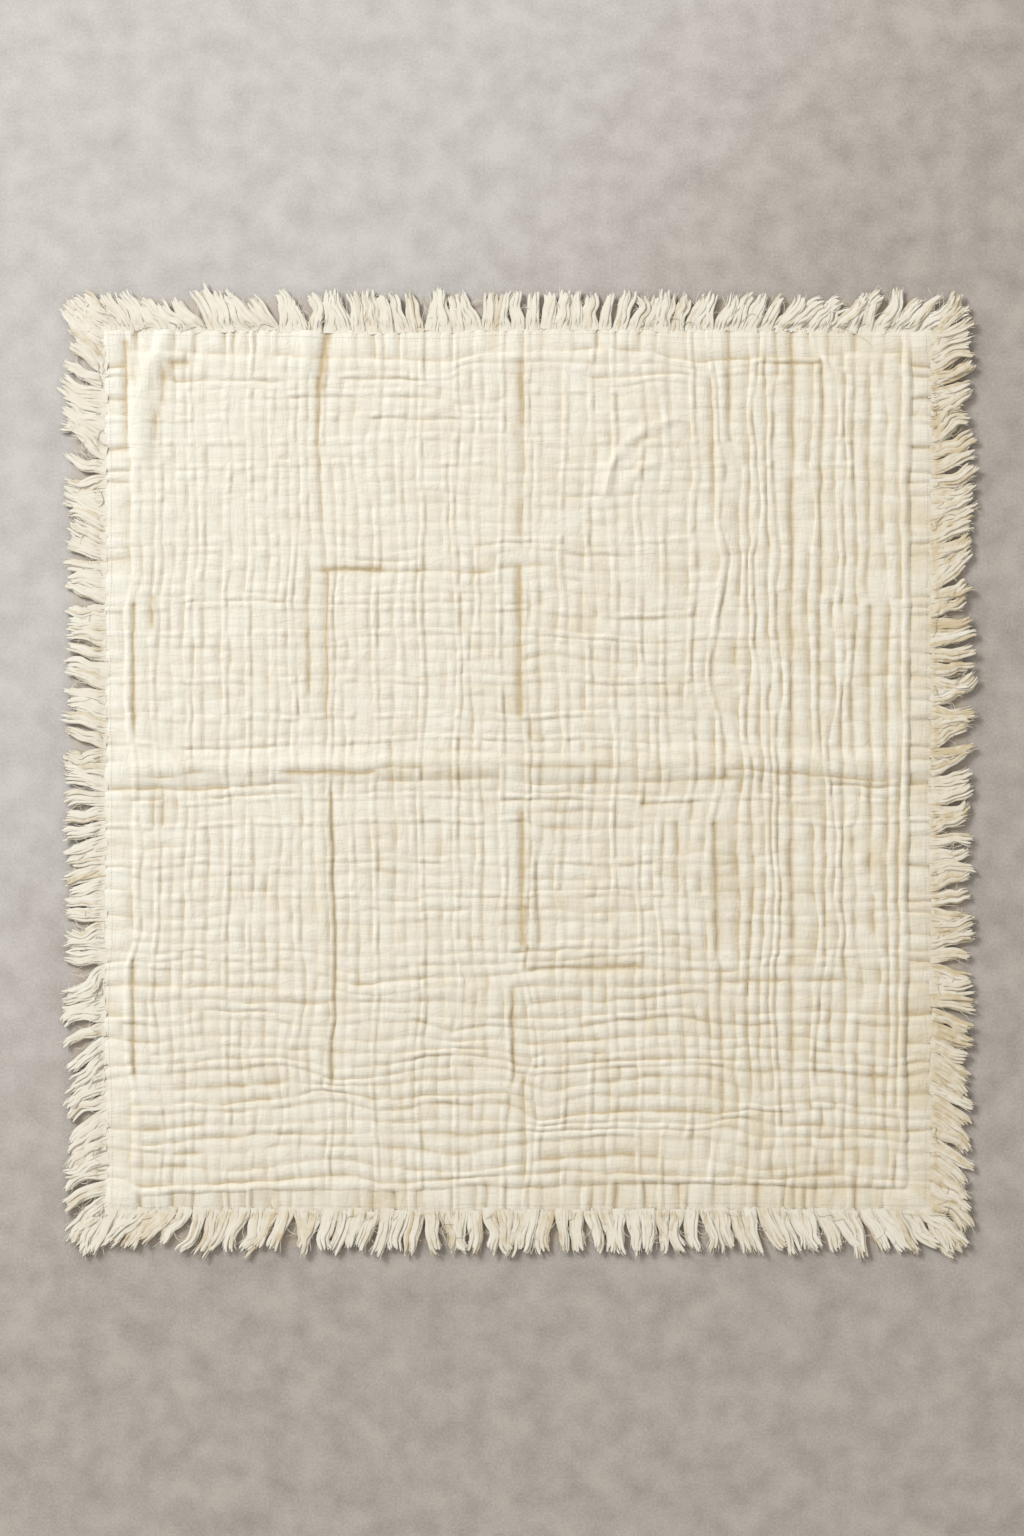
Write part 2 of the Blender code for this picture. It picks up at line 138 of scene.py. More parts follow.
CREASES_ACROSS = tuple(Crease(*row) for row in (
    # top hem's groove, left to right
    (-400, -250, 460, 455, 0.7), (-240, -60, 454, 450, 0.9), (-50, 160, 448, 447, 0.9),
    (170, 330, 449, 452, 1.4), (335, 415, 456, 459, 0.7),
    # upper part
    (-388, -352, 448, 448, 0.9), (-384, -250, 427, 426, 1.3), (-193, -100, 429, 430, 1.3),
    (-164, -92, 411, 411, 1.2), (-250, -173, 410, 410, 1.1), (-76, -40, 403, 402, 1.2),
    (-164, -61, 387, 387, 1.2), (262, 336, 449, 449, 1.5, 0.4), (254, 311, 433, 432, 1.2),
    (73, 187, 428, 435, 1.3), (-320, -250, 185, 184, 1.1), (-222, -22, 219, 218, 1.7, 0.0, 2),
    (-181, -116, 231, 230, 1.2), (-20, 41, 224, 225, 1.3), (56, 127, 237, 237, 1.3),
    (4, 41, 119, 133, 1.4), (55, 140, 300, 302, 1.0), (90, 200, 170, 168, 1.0),
    # main fold: above, on and below the ridge
    (-370, -261, 25, 26, 1.2), (-452, -310, -19, -18, 1.8, 0.2), (-310, -235, -17, -14, 1.5),
    (-410, -368, -7, -5, 1.4), (-364, -337, 1, 2, 1.4, 0.4), (-261, -150, -1, -1, 1.5),
    (-255, -190, -14, -14, 1.4, 0.3), (-151, -20, -9, -7, 1.2, 0.1), (-151, -95, 7, 7, 1.4),
    (-6, 120, 7, 6, 1.5), (0, 118, -14, -12, 1.5, 0.1), (118, 232, -10, -7, 1.6, 0.1),
    (220, 405, 3, -9, 1.8), (225, 262, -9, -9, 1.4, 0.6), (-430, -386, -31, -30, 1.2),
    (-337, -240, -28, -27, 1.4), (-20, 78, -31, -29, 1.4), (78, 138, -29, -23, 1.3),
    (128, 200, -34, -33, 1.4), (5, 110, -45, -40, 1.1),
    (20, 130, -62, -61, 1.2), (340, 405, -14, -14, 1.3, 0.5),
    # between the main fold and the lower one
    (-420, -360, -82, -81, 1.0), (-160, -110, -110, -109, 1.0), (10, 90, -116, -118, 1.0),
    (-145, -110, -140, -141, 1.2), (-118, -50, -152, -150, 1.2), (-10, 45, -150, -148, 1.1),
    (75, 160, -154, -149, 1.1), (95, 130, -182, -182, 1.2), (160, 205, -178, -176, 1.2),
    (-320, -262, -130, -128, 1.1), (-390, -330, -173, -171, 1.0), (-10, 95, -196, -191, 1.5),
    # lower fold
    (-452, -370, -231, -231, 1.9), (-365, -260, -236, -233, 1.5), (-300, -200, -254, -249, 1.4),
    (-185, -95, -232, -224, 1.8), (-60, 20, -229, -221, 1.9, 0.4), (15, 148, -217, -213, 2.1, 0.4, 3),
    (148, 235, -213, -217, 1.3), (118, 204, -235, -229, 1.4), (220, 358, -228, -227, 1.5),
    # long furrows that sweep across the lower part
    (96, 196, -250, -238, 1.6), (-184, -69, -249, -249, 1.4), (97, 178, -271, -264, 1.9),
    (-7, 60, -269, -268, 1.5), (-7, 95, -295, -292, 1.6), (-122, -95, -272, -271, 1.5),
    (-95, -60, -283, -282, 1.3), (227, 292, -274, -274, 1.4), (-425, -384, -294, -294, 1.5),
    (-330, -262, -262, -261, 1.2), (-132, -63, -316, -307, 1.7), (-54, -31, -296, -290, 1.4),
    (5, 178, -322, -312, 2.0), (258, 404, -325, -333, 1.6, 0.0, 3), (-343, -250, -346, -336, 1.8),
    (-203, -146, -336, -330, 1.5), (111, 215, -336, -334, 1.5, 0.0, 3), (-215, -138, -344, -357, 1.6),
    (67, 95, -352, -350, 1.2), (371, 406, -351, -352, 1.3), (258, 300, -364, -362, 1.4),
    (-334, -269, -366, -354, 1.9), (-134, -9, -356, -349, 1.7), (113, 205, -354, -354, 1.3),
    (17, 67, -369, -362, 1.5), (-96, -9, -361, -360, 1.4), (-138, -100, -367, -367, 1.6, 0.3),
    (220, 258, -376, -377, 1.8), (-67, -40, -370, -370, 1.5), (12, 232, -383, -376, 2.0, 0.0, 8),
    (298, 416, -385, -393, 1.7), (-418, -335, -392, -384, 1.8), (-123, -36, -393, -394, 1.6),
    (5, 95, -391, -388, 1.4), (129, 163, -388, -388, 1.3), (258, 354, -398, -401, 1.5),
    (-418, -300, -409, -396, 1.6), (-300, -173, -394, -393, 1.9), (35, 109, -403, -394, 1.3),
    (-382, -338, -418, -413, 1.5), (-88, -44, -415, -415, 1.4), (21, 130, -424, -416, 1.9),
    (140, 225, -416, -416, 1.4), (258, 358, -419, -418, 1.3), (-420, -354, -433, -428, 1.5),
    (-170, -100, -409, -410, 1.1), (17, 65, -440, -433, 1.5), (90, 152, -437, -438, 1.6),
    (-164, -31, -450, -440, 1.8), (257, 358, -445, -439, 2.0, 0.3), (-425, -175, -455, -438, 2.1),
    # bottom hem's groove
    (-405, -303, -462, -457, 1.4), (-261, -170, -457, -456, 1.3), (-10, 100, -455, -450, 1.5),
    (100, 280, -449, -450, 1.3), (293, 415, -454, -455, 1.3),
    # short furrows that run out over the left and the right hem
    (-475, -425, -62, -58, 1.1), (-475, -425, -127, -128, 1.0), (-475, -425, -250, -251, 0.9),
    (-475, -425, -290, -288, 1.0), (-475, -425, -341, -330, 1.3), (-475, -425, -389, -388, 1.5),
    (-475, -425, -421, -422, 1.1), (-475, -425, -440, -441, 1.0), (-475, -425, 120, 121, 0.9),
    (-475, -425, 232, 231, 0.9), (420, 475, -14, -13, 1.6, 0.8), (420, 475, -70, -65, 1.2),
    (420, 475, -103, -102, 1.0), (420, 475, -141, -141, 1.5), (420, 475, -176, -177, 1.3),
    (420, 475, -195, -194, 1.0), (420, 475, -231, -230, 1.1), (420, 475, -267, -262, 1.3, 0.6),
    (420, 475, -296, -296, 1.0), (418, 475, -333, -322, 1.6), (418, 475, -356, -344, 1.8, 0.3),
    (418, 475, -393, -387, 1.7), (420, 475, -416, -414, 1.0), (420, 475, 90, 92, 1.0),
    (420, 475, 190, 193, 1.1), (420, 475, 300, 304, 1.1),
))


@dataclass(frozen=True)
class Swell:
    """A soft ridge of the whole cloth through some points, in millimetres from the middle.

    A height below zero makes a trough, which may carry painted warm shade.
    """

    points: tuple[tuple[float, float], ...]
    half_width: float
    height: float
    calm: float = 0.0           # share by which the furrows fade on it
    # painted warm shade in a trough
    trough_shade: float = 0.0           # how much warmer the cloth looks there


# Columns: points, half_width, height, calm, and the trough's painted warm shade
SWELLS = tuple(Swell(*row) for row in (
    # puffed ridge of the upper left corner, and its foot along the top hem, a trough with painted warm
    # shade
    (((-383, 484), (-390, 465), (-399, 450), (-406, 434), (-412, 410), (-413, 374), (-411, 345)),
     15, 2.1, 0.85),
    (((-362, 448), (-376, 447), (-384, 440), (-388, 428), (-389, 405)), 9, -1.0, 0.1, 0.65),
    (((-391, 405), (-396, 385), (-395, 345)), 7, -0.7, 0.1, 0.5),
    # shallow troughs over the hem beside it, with painted soft shadows
    (((-421, 480), (-421, 428)), 5, -0.4, 0.0, 0.45),
    (((-406, 480), (-406, 460)), 6, -0.4, 0.0, 0.4),
    (((-367, 482), (-367, 462)), 6, -0.4, 0.0, 0.45),
    # puffs on the top hem
    (((-301, 476), (-301, 452)), 8, 0.9, 0.2),
    (((-232, 480), (-232, 440)), 12, 1.6, 0.5),
    # painted warm shade in shallow troughs along the left hem's groove, and along a furrow beside it
    (((-429, 474), (-428, 360)), 3, -0.3, 0.0, 0.5),
    (((-421, 190), (-420, 46)), 3.5, -0.3, 0.0, 0.4),
    (((-421, -205), (-420, -334)), 4, -0.3, 0.0, 0.5),
    (((-398, 190), (-399, 158)), 4, -0.3, 0.0, 0.5),
    # troughs with painted warm shade along the left fold line, top to bottom, and along the line that
    # leaves it
    (((-209, 492), (-213, 455), (-217, 420)), 10, -1.0, 0.2, 0.75),
    (((-217, 420), (-218, 392)), 8, -0.6, 0.0, 0.5),
    (((-218, 385), (-219, 330)), 6, -0.4, 0.0, 0.3),
    (((-208, 222), (-208, 60)), 4, -0.2, 0.0, 0.45),
    (((-230, 200), (-229, 88)), 4, -0.2, 0.0, 0.35),
    (((-205, -16), (-201, -180), (-204, -342)), 4, -0.2, 0.0, 0.45),
    (((-213, 222), (-150, 223)), 7, -0.4, 0.0, 0.5),
    # troughs with painted warm shade along the middle fold line, top to bottom
    (((1, 446), (2, 384)), 9, -0.9, 0.1, 0.7),
    (((-3, 384), (-2, 250)), 7, -0.5, 0.0, 0.4),
    (((1, 222), (3, 60)), 6, -0.7, 0.0, 0.75),
    (((4, -47), (6, -190)), 6, -0.6, 0.0, 0.65),
    (((-6, -236), (-7, -345)), 4, -0.2, 0.0, 0.35),
    (((5, -333), (6, -445)), 4, -0.2, 0.0, 0.4),
    # troughs with painted warm shade along the right fold line
    (((211, 435), (212, 286)), 4, -0.2, 0.0, 0.35),
    (((214, -54), (217, -195)), 4, -0.2, 0.0, 0.35),
    # pale ridges beside the fold lines that run down
    (((-214, -40), (-211, -200), (-213, -330)), 10, 1.0),
    (((12, -60), (13, -200)), 9, 1.0),
    (((220, 440), (221, 250), (216, 100)), 9, 1.0),
    (((0, 480), (0, 240)), 9, 0.7),
    # pale band of the main fold's ridge, and shallow troughs on it with painted warm shade
    (((-425, 8), (-250, 11), (-120, 13), (-10, 13)), 9, 0.5, 0.5),
    (((150, 20), (240, 22), (330, 16), (410, 10)), 12, 1.0, 0.2),
    (((-255, -1), (-150, -1)), 5, -0.3, 0.0, 0.5),
    (((-140, -4), (-80, -3), (-30, -1)), 7, -0.3, 0.0, 0.35),
    # pale bands beside the lower fold and beside the bottom hem
    (((-425, -240), (-250, -243), (-120, -238), (-10, -238)), 10, 1.2, 0.2),
    (((10, -226), (90, -223), (160, -223)), 9, 1.1, 0.2),
    (((-425, -462), (-330, -458), (-250, -452), (-170, -452)), 9, 1.1, 0.3),
    # last rib before the right hem
    (((424, 470), (420, 300), (421, 100), (422, -60), (417, -220), (418, -380)), 6, 0.9, 0.25),
    # curved wrinkles right of the middle; the trough between them has painted warm shade
    (((172, 386), (141, 375), (116, 357), (100, 335), (95, 303)), 6, 2.3, 0.4),
    (((170, 378), (144, 367), (123, 351), (108, 331), (103, 303)), 5, -0.9, 0.2, 0.2),
    (((150, 340), (131, 330), (118, 312)), 5, 1.3, 0.3),
    (((100, 152), (92, 128), (96, 100)), 7, 1.1, 0.2),
))


@dataclass(frozen=True)
class FringeSide:
    """One side of the blanket, as the solids have it.

    "wave" is the phase of the edge's waviness, "reach" how far the tips stand out, "tan" how warm
    the yarns look, and "loft" how thick the locks lie. "leans" has rows of a share of the side's
    length and the locks' lean there, in degrees towards "along".
    """

    node: str
    along: tuple[int, int]
    outward: tuple[int, int]
    reach: float
    wave: float
    tan: float
    loft: float
    leans: tuple[tuple[float, float], ...]


TOP = FringeSide(
    "fringe_top", (1, 0), (0, 1), 0.0440, 0.4, -0.16, 0.8,
    ((0.0, -46), (0.12, -37), (0.35, -17), (0.5, -1), (0.7, 19), (1.0, 42)),
)
BOTTOM = FringeSide(
    "fringe_bottom", (1, 0), (0, -1), 0.0485, 2.1, 0.10, 0.95,
    ((0.0, -38), (0.15, -33), (0.35, -12), (0.5, 0), (0.65, 6), (0.8, 24),
     (1.0, 40)),
)
LEFT = FringeSide(
    "fringe_left", (0, 1), (-1, 0), 0.0470, 3.3, -0.16, 0.7,
    ((0.0, -42), (0.18, -34), (0.3, -8), (0.55, 2), (0.75, 13), (0.9, 30),
     (1.0, 39)),
)
RIGHT = FringeSide(
    "fringe_right", (0, 1), (1, 0), 0.0470, 5.0, 0.40, 1.0,
    ((0.0, -42), (0.15, -34), (0.26, -6), (0.4, 8), (0.55, 18), (0.8, 27),
     (1.0, 32)),
)
SIDES = (TOP, BOTTOM, LEFT, RIGHT)


def smooth(low: float, high: float, value: Array | float) -> Array:
    """Rise smoothly from 0 at low to 1 at high.

    Args:
        low: Value at which the rise starts.
        high: Value at which it ends. It may be below low, and the rise then turns round.
        value: Values to read.

    Returns:
        The share for each value, from 0 to 1.
    """
    share = np.clip((np.asarray(value, float) - low) / (high - low), 0.0, 1.0)
    return share * share * (3.0 - 2.0 * share)


def line_noise(rng: np.random.Generator, lines: int, places: Array, step: float) -> Array:
    """Smooth random values along each of several lines.

    Args:
        rng: Seeded source of randomness.
        lines: Number of lines, each with values of its own.
        places: Places along the lines.
        step: Distance between the random values that are joined smoothly.

    Returns:
        Values from 0 to 1, one row a line.
    """
    low, high = places.min(), places.max()
    knots = int((high - low) / step) + 3
    values = rng.random((lines, knots))
    spot = (places - low) / (high - low) * (knots - 1.001)
    before = spot.astype(int)
    part = spot - before
    part = part * part * (3 - 2 * part)
    return values[:, before] * (1 - part) + values[:, before + 1] * part


def field_noise(rng: np.random.Generator, x: Array, y: Array, step: float) -> Array:
    """Smooth random values over the cloth.

    Args:
        rng: Seeded source of randomness.
        x: X of the points.
        y: Y of the points.
        step: Distance between the random values that are joined smoothly.

    Returns:
        A value from 0 to 1 for each point.
    """
    left, low = x.min() - step, y.min() - step
    columns = int((x.max() - left) / step) + 3
    rows = int((y.max() - low) / step) + 3
    values = rng.random((columns, rows))
    across = (x - left) / step
    up = (y - low) / step
    i, j = across.astype(int), up.astype(int)
    u, v = across - i, up - j
    u, v = u * u * (3 - 2 * u), v * v * (3 - 2 * v)
    lower = values[i, j] * (1 - u) + values[i + 1, j] * u
    upper = values[i, j + 1] * (1 - u) + values[i + 1, j + 1] * u
    return lower * (1 - v) + upper * v


def make_mesh(name: str, points: Array, faces: Array, colours: Table,
              material: bpy.types.Material) -> bpy.types.Object:
    """Make a smooth-shaded object from arrays.

    Args:
        name: Name of the piece.
        points: Points, three numbers each.
        faces: Corner indices, one row a face, all faces with the same number of corners.
        colours: Named values for the points, which the material reads.
        material: The piece's finish.

    Returns:
        The new object, linked to the scene.
    """
    mesh = bpy.data.meshes.new(name)
    count, corners = faces.shape
    mesh.vertices.add(len(points))
    mesh.vertices.foreach_set("co", points.astype(np.float32).ravel())
    mesh.loops.add(count * corners)
    mesh.loops.foreach_set("vertex_index", faces.astype(np.int32).ravel())
    mesh.polygons.add(count)
    mesh.polygons.foreach_set("loop_start", np.arange(count, dtype=np.int32) * corners)
    mesh.polygons.foreach_set("use_smooth", np.ones(count, bool))
    for key, values in colours.items():
        layer = mesh.attributes.new(key, "FLOAT", "POINT")
        layer.data.foreach_set("value", values.astype(np.float32).ravel())
    mesh.update(calc_edges=True)
    mesh.validate()
    mesh.materials.append(material)
    item = bpy.data.objects.new(name, mesh)
    bpy.context.scene.collection.objects.link(item)
    return item


def grid_faces(columns: int, rows: int) -> Array:
    """Four-cornered faces of a grid whose points are stored column by column.

    Args:
        columns: Number of grid columns.
        rows: Number of grid rows, which fall from the top.

    Returns:
        Corner indices, counter-clockwise from above.
    """
    index = np.arange(columns * rows).reshape(columns, rows)
    corners = (index[:-1, :-1], index[:-1, 1:], index[1:, 1:], index[1:, :-1])
    return np.stack([c.ravel() for c in corners], axis=1)


def tube_faces(points: Array, first: int) -> Array:
    """Four-cornered faces of open tubes.

    Args:
        points: Points of shape tubes, rings, corners, 3.
        first: Index of the first of those points in the mesh.

    Returns:
        Corner indices, one row a face.
    """
    index = np.arange(points[..., 0].size).reshape(points.shape[:3]) + first
    following = np.roll(index, -1, axis=2)
    corners = (index[:, :-1], index[:, 1:], following[:, 1:], following[:, :-1])
    return np.stack(corners, axis=-1).reshape(-1, 4)


class NodeBench:
    """A material's node tree, with short calls that add and join nodes."""

    def __init__(self, name: str) -> None:
        """Start a material that holds one Principled shader.

        Args:
            name: The material's name.
        """
        self.material = bpy.data.materials.new(name)
        self.material.use_nodes = True
        self.tree = self.material.node_tree
        self.shader = self.tree.nodes["Principled BSDF"]

    def add(self, kind: str, **settings: object) -> bpy.types.Node:
        """Add a node.

        Args:
            kind: The node's type in Blender, without its prefix.
            settings: Properties of the node, or numbers for its sockets, by name.

        Returns:
            The new node.
        """
        node = self.tree.nodes.new("ShaderNode" + kind)
        for key, value in settings.items():
            if hasattr(node, key):
                setattr(node, key, value)
            else:
                node.inputs[key.replace("_", " ")].default_value = value
        return node

    def join(self, source: Socket, target: Socket) -> None:
        """Join two sockets."""
        self.tree.links.new(source, target)

    def math(self, operation: str, first: object, second: object = 0.0) -> Socket:
        """Work out one number from two.

        Args:
            operation: Name of the Math node's operation.
            first: A socket or a number.
            second: A socket or a number.

        Returns:
            The socket that holds the result.
        """
        node = self.add("Math", operation=operation)
        for value, socket in ((first, node.inputs[0]), (second, node.inputs[1])):
            if isinstance(value, Socket):
                self.join(value, socket)
            else:
                socket.default_value = value
        return node.outputs[0]

    def attribute(self, name: str) -> Socket:
        """Read a named value of the mesh's points."""
        return self.add("Attribute", attribute_name=name).outputs["Fac"]

    def dress(self, colour: Socket, normal: Socket | None = None,
              **even: float) -> bpy.types.Material:
        """Give the shader its colour, its normal and the values that are the same all over.

        Args:
            colour: The base colour's socket.
            normal: The normal's socket, if the finish has a relief.
            even: Even values, by the name of the shader's socket, with _ for a blank.

        Returns:
            The finished material.
        """
        self.join(colour, self.shader.inputs["Base Color"])
        if normal is not None:
            self.join(normal, self.shader.inputs["Normal"])
        for name, value in even.items():
            self.shader.inputs[name.replace("_", " ")].default_value = value
        return self.material

    def tint(self, colour: Socket | tuple, other: tuple,
             share: Socket) -> Socket:
        """Blend one colour towards another.

        Args:
            colour: A colour socket or a colour.
            other: The colour at a share of 1.
            share: How far to blend.

        Returns:
            The blended colour's socket.
        """
        node = self.add("Mix", data_type="RGBA")
        if isinstance(colour, Socket):
            self.join(colour, node.inputs[6])
        else:
            node.inputs[6].default_value = (*colour, 1)
        node.inputs[7].default_value = (*other, 1)
        self.join(share, node.inputs[0])
        return node.outputs[2]

    def streaks(self, pitch_x: float, pitch_y: float, detail: float) -> Socket:
        """Noise that is drawn out along the cloth.

        Args:
            pitch_x: Size of the noise along X, in metres.
            pitch_y: Size of the noise along Y, in metres.
            detail: Detail of the noise.

        Returns:
            The noise's socket.
        """
        place = self.add("TexCoord").outputs["Object"]
        mapping = self.add("Mapping")
        mapping.inputs["Scale"].default_value = (1 / pitch_x, 1 / pitch_y, 1 / pitch_x)
        self.join(place, mapping.inputs["Vector"])
        noise = self.add("TexNoise", Scale=1.0, Detail=detail, Roughness=0.5)
        self.join(mapping.outputs[0], noise.inputs["Vector"])
        return noise.outputs["Fac"]

    def wrinkles(self, pitch_x: float, pitch_y: float, width: float) -> Socket:
        """Thin, broken lines that are drawn out along the cloth.

        Args:
            pitch_x: Distance between the lines along X, in metres.
            pitch_y: The same along Y.
            width: Width of a line, as a share of the noise's range.

        Returns:
            A socket from 0 beside the lines to 1 in their middle.
        """
        off = self.math("ABSOLUTE", self.math("SUBTRACT", self.streaks(pitch_x, pitch_y, 1.0), 0.5))
        return self.math("MAXIMUM", self.math("SUBTRACT", 1.0, self.math("DIVIDE", off, width)), 0.0)

    def band(self, value: Socket, limits: tuple[float, float],
             ends: tuple[float, float]) -> Socket:
        """Turn smoothly from one number to another across a band of values.

        Args:
            value: The values' socket.
            limits: Where the band starts and where it ends.
            ends: The numbers before and beyond it.

        Returns:
            The socket that holds the result.
        """
        node = self.add("MapRange", interpolation_type="SMOOTHSTEP")
        for name, number in zip(("From Min", "From Max", "To Min", "To Max"), (*limits, *ends)):
            node.inputs[name].default_value = number
        self.join(value, node.inputs["Value"])
        return node.outputs["Result"]

    def threads(self, pitch: float, axis: str) -> Socket:
        """Fine even threads that lie side by side.

        Args:
            pitch: Distance from thread to thread, in metres.
            axis: The axis across the threads, "X" or "Y".

        Returns:
            A socket from 0 between two threads to 1 on a thread.
        """
        place = self.add("TexCoord").outputs["Object"]
        bands = self.add("TexWave", wave_type="BANDS", bands_direction=axis, Distortion=1.2,
                         Detail=1.0, Detail_Scale=2.0)
        bands.inputs["Scale"].default_value = TURN / (20 * pitch)
        self.join(place, bands.inputs["Vector"])
        return bands.outputs["Fac"]

    def bump(self, height: Socket, strength: float, distance: float,
             under: Socket | None = None) -> Socket:
        """Add a bump on top of another.

        Args:
            height: The height's socket.
            strength: How strongly the bump shows.
            distance: Height of the bump in metres.
            under: The bump below, if there is one.

        Returns:
            The normal's socket.
        """
        node = self.add("Bump", Strength=strength, Distance=distance)
        self.join(height, node.inputs["Height"])
        if under is not None:
            self.join(under, node.inputs["Normal"])
        return node.outputs[0]


@dataclass(frozen=True)
class GauzeFinish:
    """Soft cream cotton gauze, matt and woven of fine threads, with random slubs and painted warm shade.

    A pitch is the distance between fine lines, and a run is how far each goes on.
    """

    name: str = "cream_cotton_gauze"
    colour: tuple[float, float, float] = (0.914, 0.907, 0.836)
    furrow_shade_colour: tuple[float, float, float] = (0.57, 0.455, 0.275)
    # target of the random slubs, and of the painted shade in bands over the ribs
    slub_and_shade_colour: tuple[float, float, float] = (0.79, 0.715, 0.56)
    furrow_shade_share: float = 0.95
    furrow_edge: float = 1.45
    plaid_and_shade_share: float = 0.85
    slub_share: float = 0.35
    slub_pitch: float = 0.004
    slub_run: float = 0.030
    roughness: float = 0.93
    sheen: float = 0.25
    sheen_roughness: float = 0.6
    gloss: float = 0.2
    thread_pitch: float = 0.0011
    thread_height: float = 0.00012
    crepe_pitch: float = 0.0042
    crepe_run: float = 0.016
    crepe_height: float = 0.0006
    wrinkle_pitch: float = 0.0105
    wrinkle_run: float = 0.042
    wrinkle_width: float = 0.045
    wrinkle_depth: float = 0.34
    wrinkle_shade_share: float = 0.08

    def material(self) -> bpy.types.Material:
        """Build the gauze's material.

        Returns:
            The material.
        """
        bench = NodeBench(self.name)
        # painted shade: tan in the furrows, in the troughs and on sunk ribs, and in thin fine creases
        furrow = bench.math("POWER", bench.attribute("furrow"), self.furrow_edge)
        furrow = bench.math("MULTIPLY", furrow, self.furrow_shade_share)
        fine = bench.math("ADD", bench.wrinkles(self.wrinkle_pitch, self.wrinkle_run, self.wrinkle_width),
                          bench.wrinkles(self.wrinkle_run, self.wrinkle_pitch, self.wrinkle_width))
        furrow = bench.math("ADD", furrow, bench.math("MULTIPLY", fine, self.wrinkle_shade_share))
        # random slub streaks, plus painted shade in warm bands over the ribs
        slub_and_shade = bench.math("MULTIPLY", bench.streaks(self.slub_pitch, self.slub_run, 3.0), self.slub_share)
        slub_and_shade = bench.math("ADD", slub_and_shade, bench.math("MULTIPLY", bench.attribute("plaid"), self.plaid_and_shade_share))
        colour = bench.tint(self.colour, self.slub_and_shade_colour, slub_and_shade)
        colour = bench.tint(colour, self.furrow_shade_colour, furrow)
        weave = bench.math("MAXIMUM", *(bench.threads(self.thread_pitch, axis) for axis in "XY"))
        crepe = bench.math("ADD", bench.streaks(self.crepe_pitch, self.crepe_run, 2.0),
                           bench.streaks(self.crepe_run, self.crepe_pitch, 2.0))
        crepe = bench.math("SUBTRACT", crepe, bench.math("MULTIPLY", fine, self.wrinkle_depth))
        normal = bench.bump(crepe, 0.6, self.crepe_height)
        normal = bench.bump(weave, 0.7, self.thread_height, normal)
        return bench.dress(colour, normal, Roughness=self.roughness, Sheen_Weight=self.sheen,
                           Sheen_Roughness=self.sheen_roughness, Specular_IOR_Level=self.gloss)


@dataclass(frozen=True)
class YarnFinish:
    """Loose cotton yarn: matt, with random tan strands and patches, painted light that makes it paler
    towards its tips, and painted shade that makes it darker and warmer where it lies low and in its beds.
    """

    name: str = "cream_cotton_yarn"
    colour: tuple[float, float, float] = (0.858, 0.82, 0.718)
    # painted shade where the yarn lies low and in the beds, and the yarns' own tan
    shade_and_tan_colour: tuple[float, float, float] = (0.66, 0.55, 0.365)
    pale_colour: tuple[float, float, float] = (0.905, 0.88, 0.79)
    shade_and_tan_share: float = 0.68
    roughness: float = 0.95
    sheen: float = 0.2
    gloss: float = 0.2
    upright: float = 3.2
    fibre_count: float = 9.0
    fibre_length: float = 0.012
    fibre_share: float = 0.36
    fibre_height: float = 0.00035
    strand_step: float = 57.0
    patch_pitch: float = 0.009
    patch_from: float = 0.42
    patch_share: float = 1.8

    def material(self) -> bpy.types.Material:
        """Build the yarn's material.

        Returns:
            The material.
        """
        bench = NodeBench(self.name)
        colour = bench.tint(self.colour, self.pale_colour, bench.attribute("pale"))
        fibres = self.fibres(bench)
        dark = bench.math("MAXIMUM", bench.math("SUBTRACT", 0.5, fibres), 0.0)
        dark = bench.math("MULTIPLY", dark, self.fibre_share)
        patches = bench.streaks(self.patch_pitch, self.patch_pitch, 2.0)
        patches = bench.math("SUBTRACT", patches, self.patch_from)
        patches = bench.math("MULTIPLY", patches, self.patch_share)
        # random tan patches, stronger where the painted low shade is
        where = bench.math("ADD", 0.25, bench.math("MULTIPLY", bench.attribute("root"), 1.2))
        patches = bench.math("MULTIPLY", bench.math("MAXIMUM", patches, 0.0), where)
        dark = bench.math("ADD", dark, patches)
        # painted shade where the yarn lies low and in the beds, with each lock's and strand's own tan
        root = bench.math("MULTIPLY", bench.attribute("root"), self.shade_and_tan_share)
        colour = bench.tint(colour, self.shade_and_tan_colour, bench.math("ADD", root, dark))
        normal = self.softened(bench, bench.bump(fibres, 0.6, self.fibre_height))
        return bench.dress(colour, normal, Roughness=self.roughness, Sheen_Weight=self.sheen,
                           Specular_IOR_Level=self.gloss)

    def fibres(self, bench: NodeBench) -> Socket:
        """Fine streaks that run along a strand's body.

        Args:
            bench: The material's node tree.

        Returns:
            The streaks' socket, from 0 to 1.
        """
        place = bench.add("CombineXYZ")
        scales = {"around": self.fibre_count, "run": 1 / self.fibre_length, "strand": self.strand_step}
        for (name, scale), target in zip(scales.items(), place.inputs):
            bench.join(bench.math("MULTIPLY", bench.attribute(name), scale), target)
        noise = bench.add("TexNoise", Scale=1.0, Detail=2.0, Roughness=0.5)
        bench.join(place.outputs[0], noise.inputs["Vector"])
        return noise.outputs["Fac"]

    def softened(self, bench: NodeBench, normal: Socket) -> Socket:
        """Turn the normals upwards a little, as light spreads inside a lock of fine yarns.

        Args:
            bench: The material's node tree.
            normal: The yarn's own normal.

        Returns:
            The softened normal's socket.
        """
        lean = bench.add("VectorMath", operation="ADD")
        bench.join(normal, lean.inputs[0])
        lean.inputs[1].default_value = (0, 0, self.upright)
        unit = bench.add("VectorMath", operation="NORMALIZE")
        bench.join(lean.outputs[0], unit.inputs[0])
        return unit.outputs[0]


